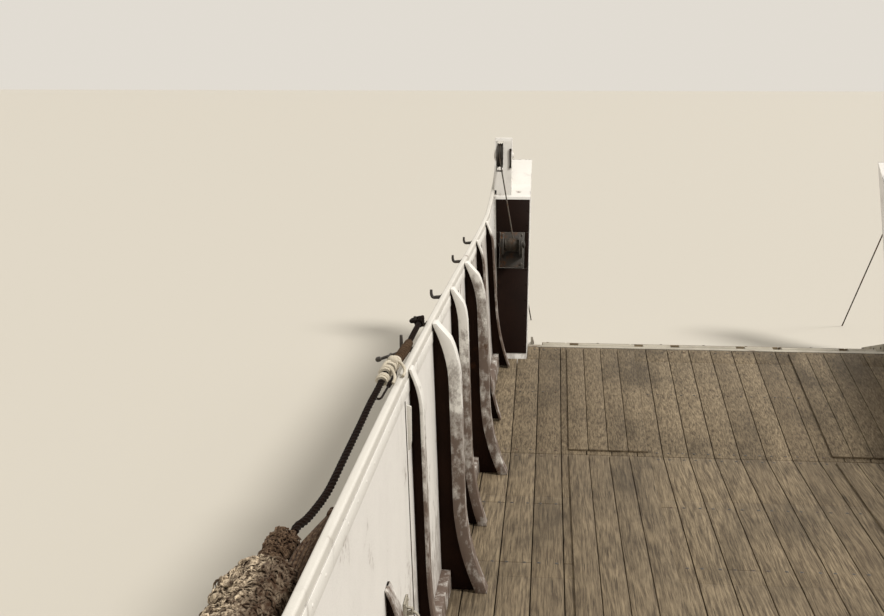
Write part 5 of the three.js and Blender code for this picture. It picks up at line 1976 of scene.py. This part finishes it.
@dataclass
class BowGear:
    """Sheave, ramp winch, ramp wire and near-black plates of painted shade on one side of the bow."""

    side: Side
    post_s: float = 13330.0
    sheave_x: float = 1476.0
    sheave_z: float = 1880.0
    winch_x: float = 1372.0
    up: float = 640.0
    cheek_depth: float = 260.0
    # The ramp's lug, from the hinge's middle: across, along the ramp and up from it.
    lug: Point = (1216.0, 1540.0, 127.5)

    def winch_place(self) -> Matrix:
        """Gives the place of the winch's bed on the raked box.

        Returns:
            The matrix that brings a form made round the origin there.
        """
        c, d = cos(BOW_RAKE), sin(BOW_RAKE)
        here = Vector((
            self.side.value * self.winch_x, HINGE_S + self.up * c - self.cheek_depth * d,
            HINGE_Z + self.up * d + self.cheek_depth * c,
        ))
        return Matrix.Translation(here) @ Matrix.Rotation(BOW_RAKE, 4, "X")

    def build(self) -> None:
        """Makes the winch, the wire, the sheave's rim and the plates."""
        self.add_winch()
        self.add_wire()
        self.add_sheave_trim()
        self.add_face()

    def add_winch(self) -> None:
        """Adds the hand winch with the wire's turns on its drum."""
        form = Form()
        form.box((-84, 84), (-129, 129), (1, 14))
        for x in (-68, 68):
            cheek = ((-62, 12), (62, 12), (34, 138), (14, 150), (-14, 150), (-34, 138))
            form.plate([(x - 5, a, b) for a, b in cheek], (10, 0, 0))
        form.tube([(-90, 0, 110), (90, 0, 110)], 13, 14)
        for a in (-61, 52):
            form.turned([(70, 0), (72, 2), (72, 7), (70, 9)], (a, 0, 110), ACROSS, 28)
        form.turned([(22, 0), (22, 14), (16, 18)], (76, 0, 110), ACROSS, 16)
        form.nuts((-66, 66), (-108, 108), 14, 10)
        place = self.winch_place()
        form.put(place)
        form.made(f"hand_winch_{self.side}", DARK_STEEL, replaces=f"ramp_winch_{self.side}", bevel=1.2)
        coil = []
        for i in range(10 * 16):
            a = 2 * pi * i / 16
            coil.append((-46 + 92 * i / 159, 43 * cos(a), 110 + 43 * sin(a)))
        turns = Form()
        turns.turned([(38, -50), (38, 50)], (0, 0, 110), ACROSS, 20)
        turns.tube(coil, 4.6, 6)
        turns.put(place).made(f"winch_turns_{self.side}", WIRE_STEEL, smooth=50)

    def add_wire(self) -> None:
        """Leads the wire from the winch over the sheave to the ramp's lug."""
        sign = self.side.value
        start = self.winch_place() @ Vector((10, 48, 112))
        x = sign * self.sheave_x
        over = []
        for i in range(9):
            a = radians(190 - i * 21)
            over.append(Vector((x, self.post_s + 84 * cos(a), self.sheave_z + 84 * sin(a))))
        lift = Form().tube([start, start.lerp(over[0], 0.5), *over], 5.0, 8)
        lift.made(f"ramp_wire_lift_{self.side}", WIRE_STEEL, smooth=60)
        c, d = cos(RAMP_DOWN), sin(RAMP_DOWN)
        across, y, up = self.lug
        eye = Vector((sign * across, HINGE_S + y * c + up * d, HINGE_Z - y * d + up * c))
        reach = [over[-1].lerp(eye, i / 24) for i in range(24)]
        wire = Form().tube(reach, 5.0, 8).made(f"ramp_wire_{self.side}", WIRE_STEEL, None, smooth=60)
        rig.blend(wire, Body.HULL.value, Body.RAMP.value, start=metres(*reach[0]), end=metres(*eye))
        self.add_shackle()

    def add_shackle(self) -> None:
        """Adds the shackle and thimble in the ramp's lug."""
        sign, (_, y, up) = self.side.value, self.lug
        form = Form()
        form.tube([(sign * 1190, y, up), (sign * 1243, y, up)], 10, 12)
        form.nut((sign * 1243, y, up), (sign, 0, 0), 14)
        loop = (
            (1196, 0, 0), (1197, 26, 26), (1203, 46, 50), (1216, 56, 60), (1229, 46, 50), (1235, 26, 26),
            (1236, 0, 0),
        )
        form.tube(smooth_line([(sign * x, y - a, up + b) for x, a, b in loop], 6), 8, 10)
        form.put(ramp_place()).made(f"wire_shackle_{self.side}", DARK_STEEL, Body.RAMP, smooth=50)

    def add_sheave_trim(self) -> None:
        """Adds the grooved rim of the sheave and the nuts of its pin."""
        sign = self.side.value
        form = Form()
        rim = [(70, -19), (88, -19), (88, -14), (81, -6), (81, 6), (88, 14), (88, 19), (70, 19)]
        form.turned(rim, (sign * self.sheave_x, self.post_s, self.sheave_z), ACROSS, 32)
        form.made(f"sheave_{self.side}", DARK_STEEL, smooth=40)
        caps = Form()
        cap = [(26, -2), (26, 3), (19, 7), (6, 8)]
        for x, way in ((1388.5, -sign), (1512.5, sign)):
            caps.turned(cap, (sign * x, self.post_s, self.sheave_z), (way, 0, 0), 20)
        caps.made(f"sheave_caps_{self.side}", SIDE_PAINT, smooth=40)

    def add_face(self) -> None:
        """Covers the raked box's aft face with near-black plates of painted shade, and adds the post's guide bar in
        the same finish.
        """
        sign = self.side.value
        inner, foot, head = GATE + 5 - self.winch_x, -105 - self.up, 1020 - self.up
        low, high = 1450 - self.winch_x, 1496 - self.winch_x

        def outer(y: float) -> float:
            """Gives the plates' outboard edge at a height."""
            return low + (high - low) * (y - foot) / (head - foot)

        form = Form()
        bed = (88.0, 133.0)
        for x0, x1, y0, y1 in (
            (inner, None, foot, -bed[1]), (inner, None, bed[1], head), (inner, -bed[0], -bed[1], bed[1]),
            (bed[0], None, -bed[1], bed[1]),
        ):
            (ya, xa), (yb, xb) = [(y, outer(y) if x1 is None else x1) for y in (y0 + 1, y1 - 1)]
            form.plate([(x0, ya, 1), (xa, ya, 1), (xb, yb, 1), (x0, yb, 1)], (0, 0, 4))
        y = foot + 50
        while y < head:
            form.dome((inner + 14, y, 5), UP, 6, 3)
            form.dome((outer(y) - 14, y, 5), UP, 6, 3)
            y += 110
        form.put(self.side.flip).put(self.winch_place())
        # The plates are near-black: painted shade on the raked box's aft face.
        form.made(f"cheek_plates_{self.side}", PAINTED_SHADE_PLATE, bevel=0.8)
        bar = Form()
        bar.tube([(sign * 1398, 13229, 1800), (sign * 1402, 13263, 1932)], 6, 10)
        for z, s in ((1806, 13230), (1926, 13262)):
            bar.box((sign * 1392, sign * 1406), (s - 3, s + 14), (z - 7, z + 7))
        # The guide bar takes the same near-black finish of painted shade.
        bar.made(f"post_guide_{self.side}", PAINTED_SHADE_PLATE, bevel=1)


@dataclass
class Ramp:
    """The ramp's treads, fastenings and hinge pin."""

    length: float = 1750.0
    thick: float = 45.0
    half: float = 1230.0

    def build(self) -> None:
        """Makes the treads, the bolts and the pin."""
        place = ramp_place()
        over = self.thick / 2 + 0.5
        treads, bolts = Form(), Form()
        for i in range(8):
            y = 170 + i * 205
            for a, b in ((-1150, -985), (-515, 515), (985, 1150)):
                treads.box((a, b), (y, y + 50), (over, over + 27))
            for a, b in ((-975, -525), (525, 975)):
                treads.box((a, b), (y, y + 50), (over + 11.5, over + 27))
            for x in (-1110, -750, -300, 0, 300, 750, 1110):
                bolts.dome((x, y + 25, over + 27), UP, 11, 4)
        for side in (1, -1):
            for i in range(4):
                x = side * (523 + i * 114)
                treads.box((x, x + side * 110), (122, self.length - 42), (over, over + 11))
        treads.put(place).made(
            "ramp_tread_planks", CROSS_PLANKS, Body.RAMP, replaces="ramp_treads", bevel=2.5,
        )
        for side in (1, -1):
            for i in range(9):
                y = 130 + i * 185
                bolts.dome((side * (self.half - 14), y, over + 34), (-side, 0, 0), 9, 5)
        bolts.put(place).made("ramp_bolts", DARK_STEEL, Body.RAMP)
        pin = Form()
        pin.tube([(-1169, HINGE_S, HINGE_Z), (1169, HINGE_S, HINGE_Z)], 17.8, 24)
        pin.made("hinge_pin", DARK_STEEL, replaces="ramp_hinge_pin", bevel=1.5)


# Stern half


@dataclass
class Helm:
    """Pedestal, wheel, instruments and the shield's trim."""

    s: float = 2095.0
    z: float = 1650.0
    rim: float = 260.0
    grip: float = 335.0
    stand_s: float = 2262.0

    def build(self) -> None:
        """Makes the pedestal and the rest of the helm."""
        stand = Form()
        stand.box((-129, 129), (2196, 2344), (DECK_TOP + 1, DECK_TOP + 38))
        stand.skin([
            [(a * w, self.stand_s + b * d, z) for a, b in ((-1, -1), (1, -1), (1, 1), (-1, 1))]
            for w, d, z in ((88, 65, DECK_TOP + 36), (74, 56, 1400), (70, 54, 1560))
        ])
        case = [(60, 0), (108, 6), (109, 20), (109, 120), (104, 132)]
        stand.turned(case, (0, 2197, self.z), FORWARD, 36)
        stand.turned([(34, -20), (34, 2)], (0, 2197, self.z), (0, -1, 0), 24)
        stand.box((151, 229), (2211, 2319), (DECK_TOP + 1, 1518))
        stand.box((80, 160), (2232, 2298), (1332, 1398))
        knob = [(4, -16), (15, -10), (18, 0), (15, 10), (4, 16)]
        for x, tilt in ((170, -50), (210, -25)):
            stand.tube([(x, 2265, 1505), (x, 2265 + tilt, 1680)], 7, 10)
            stand.turned(knob, (x, 2265 + tilt, 1688), UP, 16)
        stand.nuts((-110, 110), (2215, 2325), DECK_TOP + 38, 10)
        stand.made("helm_stand", GEAR_PAINT, replaces="helm_pedestal", bevel=2)
        self.add_dial()
        self.add_wheel()
        self.add_shield_trim()

    def add_shield_trim(self) -> None:
        """Adds the bead on the shield's upper edge, its stiffeners, foot bars, nuts and rivets."""
        form = Form()
        half, fore, inside, foot = 604, 2374, 2367.6, DECK_TOP + 8
        slope = [(-half, 1450, 1861), (-half, 1960, 2149), (-half, fore, 2149)]
        form.tube([*slope, *[(half, s, z) for _, s, z in reversed(slope)]], 9, 8)
        form.box((-565, 565), (2347, inside), (DECK_TOP + 1, foot))
        form.nuts((-380, -190, 190, 380), [2357], foot, 7)
        for side in (1, -1):
            form.box((side * 566, side * 597.6), (1452, inside), (DECK_TOP + 1, foot))
            form.box((side * 440 - 4, side * 440 + 4), (2328, inside), (foot - 1, 2128))
            form.nuts([side * 582], range(1500, 2340, 160), foot, 7)
            for z in range(1340, 2120, 86):
                form.dome((side * 592, fore + 6, z), FORWARD, 6, 3)
                form.dome((side * 440, fore + 6, z), FORWARD, 6, 3)
                form.dome((side * 610, 2360, z), (side, 0, 0), 6, 3)
        form.made("shield_trim", HULL_PAINT, bevel=1, smooth=40)

    def add_dial(self) -> None:
        """Adds the compass bowl on the pedestal and the gauge beside the levers."""
        form = Form()
        form.turned([(62, 0), (66, 8), (66, 60), (54, 66)], (0, self.stand_s, 1750), UP, 32)
        form.turned([(44, 0), (47, 4), (47, 22), (40, 26)], (190, 2212, 1450), (0, -1, 0), 28)
        form.made("compass_bowl", BRONZE, bevel=1)

    def add_wheel(self) -> None:
        """Adds the wheel with its eight turned grips."""
        form = Form()
        form.ring((0, self.s, self.z), FORWARD, self.rim, 16.5, 12, 64)
        form.turned([(30, -36), (44, -30), (46, 0), (44, 30), (30, 36)], (0, self.s, self.z), FORWARD, 28)
        spoke = (
            (12, 0), (12, 40), (9, 70), (12, 110), (14, 160), (10, 200), (14, 232), (14, 276), (9, 288),
            (13, 305), (12, 325), (6, self.grip - 1),
        )
        for a in angles(8):
            form.turned(spoke, (0, self.s, self.z), (cos(a), 0, sin(a)), 12)
        form.turned([(19.5, 0), (19.5, 128)], (0, self.s + 32, self.z), FORWARD, 24)
        form.made("steering_wheel", HELM_WOOD, Body.WHEEL, replaces="helm_wheel", smooth=40)


@dataclass
class EngineLids:
    """The hatch lid on one side, with battens, a handle and hinge straps."""

    side: Side
    hinge: float = 722.0
    low: float = 1441.0
    thick: float = 44.0
    aft: float = 2470.0
    fore: float = 4930.0

    def build(self) -> None:
        """Makes the lid and its straps."""
        body = Body.LID_STARBOARD if self.side is Side.STARBOARD else Body.LID_PORT
        flip = self.side.flip
        top = self.low + self.thick
        form = Form()
        form.box((5.5, self.hinge - 5.5), (self.aft + 1, self.fore - 1), (self.low, top))
        for i in range(3):
            s = self.aft + 250 + i * 780
            form.box((92, 598), (s, s + 60), (top - 2, top + 16))
        handle = ((3605, -2), (3612, 24), (3640, 29), (3760, 29), (3788, 24), (3795, -2))
        form.tube(smooth_line([(85, s, top + z) for s, z in handle], 8), 8, 10)
        form.put(flip).made(
            f"hatch_lid_{self.side}", DECK_PAINT, body, replaces=f"engine_lid_{self.side}", bevel=4,
        )
        straps = Form()
        for s in (self.aft + 160, 3660, self.fore - 240):
            straps.box((self.hinge - 150, self.hinge - 6), (s, s + 80), (top - 1, top + 6))
            for x in (self.hinge - 120, self.hinge - 80, self.hinge - 40):
                straps.dome((x, s + 40, top + 6), UP, 8, 4)
        straps.put(flip).made(f"lid_straps_{self.side}", DARK_STEEL, body, bevel=1.2)


@dataclass
class SternGear:
    """Bollards, ventilators, exhaust, winch, anchor and weld beads of the stern deck."""

    winch_s: float = 560.0
    winch_z: float = 1550.0
    winch_x: tuple[float, float] = (520.0, 780.0)

    def build(self) -> None:
        """Makes all of the deck gear."""
        for side in Side:
            self.add_bollards(side)
            self.add_ventilator(side)
        self.add_exhaust()
        self.add_winch_frame()
        self.add_winch_drum()
        self.add_anchor()
        self.add_deck_seams()

    def add_deck_seams(self) -> None:
        """Adds the weld beads between the deck's plates."""
        form = Form()
        for s, inner in ((1000, 0), (2430, 0), (3700, 702)):
            edge = side_x(s, DECK_TOP) - 20
            for x0, x1 in ((-edge, -inner), (inner, edge)):
                form.tube([(x0, s, DECK_TOP), (x1, s, DECK_TOP)], 3.5, 6)
        for x in (-830, 830):
            form.tube([(x, 60, DECK_TOP), (x, WELL_AFT - 12, DECK_TOP)], 3.5, 6)
        form.made("deck_seams", DECK_PAINT, smooth=60)

    def add_bollards(self, side: Side) -> None:
        """Adds a pair of bollards with rounded heads.

        Args:
            side: The side that they stand on.
        """
        x = side.value * 1330
        form = Form()
        form.box((x - 59, x + 59), (1311, 1689), (DECK_TOP + 1, DECK_TOP + 19))
        post = [
            (52, 12), (43, 26), (41, 40), (41, 172), (46, 184), (54, 190), (55, 204), (50, 212), (30, 214.5),
        ]
        for s in (1390, 1610):
            form.turned(post, (x, s, DECK_TOP), UP, 32)
        form.nuts((x - 42, x + 42), (1325, 1500, 1675), DECK_TOP + 19, 9)
        form.made(f"bollards_{side}", DARK_STEEL, replaces=f"bollards_aft_{side}", bevel=1.5, smooth=40)

    def add_ventilator(self, side: Side) -> None:
        """Adds a mushroom ventilator.

        Args:
            side: The side that it stands on.
        """
        x, s, z = side.value * 1180, 3200, DECK_TOP + 1
        form = Form()
        stem = [(110, 0), (110, 14), (70, 18), (62, 30), (62, 296), (70, 299)]
        cap = [(60, 290), (116, 296), (127, 304), (128, 330), (118, 352), (94, 376), (60, 392), (14, 399)]
        for profile in (stem, cap):
            form.turned(profile, (x, s, z), UP, 36)
        for a in angles(8):
            form.nut((x + 90 * cos(a), s + 90 * sin(a), z + 14), UP, 8)
        form.made(f"mushroom_vent_{side}", DECK_PAINT, replaces=f"ventilator_{side}", bevel=0.8, smooth=40)

    def add_exhaust(self) -> None:
        """Adds the exhaust pipe with its flanges and cut end."""
        x, s = 1180.0, 4200.0
        form = Form()
        bend = [(x, s, z) for z in (DECK_TOP + 10, 1500, 1700, 1880)]
        for i in range(1, 13):
            t = i / 12
            z = 1880 + 160 * 2 * t * (1 - t) + 180 * t * t
            bend.append((x + 40 * t * t, s - 160 * t * t, z))
        form.tube(bend, 55, 28)
        form.turned([(99, 1), (99, 22), (58, 26)], (x, s, DECK_TOP), UP, 28)
        form.turned([(78, -10), (78, 10)], (x, s, 1620), UP, 28)
        for a in angles(6):
            form.nut((x + 80 * cos(a), s + 80 * sin(a), DECK_TOP + 22), UP, 9)
            form.nut((x + 67 * cos(a), s + 67 * sin(a), 1630), UP, 7)
        form.made("exhaust_pipe", RUSTY_STEEL, replaces="exhaust_stack", bevel=1.2, smooth=40)

    def add_winch_frame(self) -> None:
        """Adds the cheeks and the bed of the anchor winch."""
        s, z, (x0, x1) = self.winch_s, self.winch_z, self.winch_x
        form = Form()
        form.box((x0 - 39, x1 + 39), (s - 179, s + 179), (DECK_TOP + 1, DECK_TOP + 17))
        for x in (x0 - 18, x1 + 6):
            arc = [(x, s + 46 * cos(radians(a)), z + 4 + 42 * sin(radians(a))) for a in range(0, 181, 20)]
            form.plate([(x, s + 168, DECK_TOP + 12), *arc, (x, s - 168, DECK_TOP + 12)], (12, 0, 0))
        form.tube([(x0 - 16, s + 130, DECK_TOP + 70), (x1 + 16, s + 130, DECK_TOP + 70)], 12, 14)
        form.nuts((x0 - 26, x1 + 26), (s - 155, s, s + 155), DECK_TOP + 17, 9)
        form.made("winch_stand", DARK_STEEL, replaces="stern_winch_frame", bevel=1.5)

    def add_winch_drum(self) -> None:
        """Adds the drum with its handles and the wire wound on it."""
        s, z, (x0, x1) = self.winch_s, self.winch_z, self.winch_x
        form = Form()
        form.turned([(74, 6), (74, x1 - x0 - 6)], (x0, s, z), ACROSS, 32)
        for x in (x0 + 1, x1 - 14):
            form.turned([(136, 0), (140, 3), (140, 10), (136, 13)], (x, s, z), ACROSS, 40)
        form.tube([(x0 - 89, s, z), (x1 + 89, s, z)], 18.8, 24)
        for x, way in ((x0 - 75, 1), (x1 + 75, -1)):
            form.skin([
                upright(s + way * d, x - 8, x + 8, z - h, z + h)
                for d, h in ((-20, 20), (0, 24), (30, 16), (160, 13), (189, 15))
            ])
            grip = [(12, 0), (14, 12), (16, 60), (14, 100), (9, 108)]
            form.turned(grip, (x, s + way * 170, z), (-way, 0, 0), 18)
        form.made("winch_drum", DARK_STEEL, Body.WINCH, replaces="stern_winch_drum", bevel=1.2, smooth=38)
        turns = Form()
        coil = []
        for layer, radius in enumerate((80.0, 89.0)):
            for i in range(22 * 20):
                a = 2 * pi * i / 20
                t = i / (22 * 20 - 1)
                x = x0 + 22 + (x1 - x0 - 44) * (t if layer == 0 else 1 - t)
                coil.append((x, s + radius * cos(a), z + radius * sin(a)))
        turns.tube(coil, 5.2, 6)
        turns.made("anchor_wire_turns", WIRE_STEEL, Body.WINCH, smooth=60)

    def add_anchor(self) -> None:
        """Adds the kedge anchor lying on the deck."""
        x, z = -860.0, DECK_TOP + 24.0
        form = Form()
        arm = []
        for i in range(25):
            a = radians(-62 + 124 * i / 24)
            arm.append((x + 372 * sin(a), 760 - 372 * cos(a), z))
        form.tube(arm, [8 + 18 * sin(pi * i / 24) ** 0.5 for i in range(25)], 12)
        fluke = ((285, 480), (345, 500), (392, 560), (372, 630), (322, 690), (262, 660), (215, 610))
        for side in (1, -1):
            form.plate([(x + side * a, s, z - 8) for a, s in fluke], (0, 0, 26))
        form.tube([(x, 384, z), (x, 700, z), (x, 1118, z)], [25, 22, 19], 14)
        form.tube([(x - 328, 1020, z + 2), (x + 328, 1020, z + 2)], 17, 14)
        ball = [(6, -24), (22, -15), (25, 0), (22, 15), (6, 24)]
        for side in (1, -1):
            form.turned(ball, (x + side * 306, 1020, z + 2), ACROSS, 16)
        form.ring((x, 1165, z + 2), UP, 56, 11, 10, 32)
        form.made("anchor", DARK_STEEL, replaces="kedge_anchor", bevel=1.5, smooth=45)


@dataclass
class RunningGear:
    """The screw with its twisted blades."""

    s: float = 1240.0
    z: float = 330.0

    def build(self) -> None:
        """Makes the screw."""
        form = Form()
        hub = [(6, -125), (26, -112), (40, -90), (50, -62), (56, -30), (55, 30), (51, 69), (40, 71)]
        form.turned(hub, (0, self.s, self.z), FORWARD, 32)
        form.tube([(0, self.s + 66, self.z), (0, 1679, self.z)], 29.8, 28)
        for turn in angles(3):
            form.skin(self.blade(turn))
        form.made("screw", BRONZE, Body.PROPELLER, replaces="propeller", smooth=50)

    def blade(self, turn: float) -> list[list[Point]]:
        """Gives the sections of one blade from the hub to the tip.

        Args:
            turn: The blade's angle round the shaft.

        Returns:
            The outlines of its sections.
        """
        rings = []
        for j in range(13):
            t = j / 12
            r = 44 + 222 * t
            chord = (34 + 78 * sin(pi * (0.08 + 0.8 * t)) ** 0.8) * sqrt(1 - 0.97 * t**8)
            thick = 9 * (1 - t) + 2.5
            pitch = radians(38 + 26 * (1 - t))
            ring = []
            for a in angles(12):
                along, off = chord * cos(a), thick * sin(a)
                across = along * cos(pitch) - off * sin(pitch)
                ahead = along * sin(pitch) + off * cos(pitch)
                swing = across / r * 0.96
                x, z = r * sin(swing), r * cos(swing)
                ring.append((
                    x * cos(turn) + z * sin(turn), self.s + ahead * 0.62,
                    self.z - x * sin(turn) + z * cos(turn),
                ))
            rings.append(ring)
        return rings


@dataclass
class CarriedNodes:
    """Finishes of the CAD nodes that show as they are."""

    finishes: dict[str, Finish] = field(default_factory=lambda: {
        "hull_aft": HULL_PAINT, "hull_bottom": BOTTOM_PAINT, "side_plating": SIDE_PAINT,
        "bow_cheek": SIDE_PAINT, "keel_shoe": RUSTY_STEEL, "skeg": BOTTOM_PAINT,
        "gunwale_cap_stern": RAIL_PAINT, "rub_rail": DARK_STEEL, "bow_sill": GEAR_PAINT,
        "engine_bulkhead": SIDE_PAINT, "stern_deck": DECK_PAINT, "helm_cockpit": DECK_PAINT,
        "engine_casing": DECK_PAINT, "engine_block": DARK_STEEL, "helm_shield": HULL_PAINT,
        "rudder": BOTTOM_PAINT, "ramp_panel": GEAR_PAINT,
    })

    def build(self) -> None:
        """Gives each node its finish."""
        for name, node in frame["nodes"].items():
            key = next((k for k in self.finishes if name.startswith(k)), None)
            if key is None:
                continue
            finish = self.finishes[key]
            for place in node.material_slots:
                place.material = finish.material()
            log.info("%s: finished with %s", name, finish.name)


def main() -> None:
    """Builds every assembly in order and writes the sizes."""
    logging.basicConfig(level=logging.INFO, format="%(message)s")
    Studio().build()
    FenderRope().build()
    for side in Side:
        RopeFender(side).build()
        SideFrames(side).build()
        SidePlating(side).build()
        GunwaleRail(side).build()
        BowGear(side).build()
        EngineLids(side).build()
    WellFloor().build()
    WellFittings().build()
    Ramp().build()
    Helm().build()
    SternGear().build()
    RunningGear().build()
    CarriedNodes().build()
    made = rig.bounds()
    with open("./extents.json", "w") as out:
        json.dump({"cad": [list(p) for p in CAD_BOX], "visual": [list(p) for p in made]}, out, indent=1)


if __name__ == "__main__":
    main()
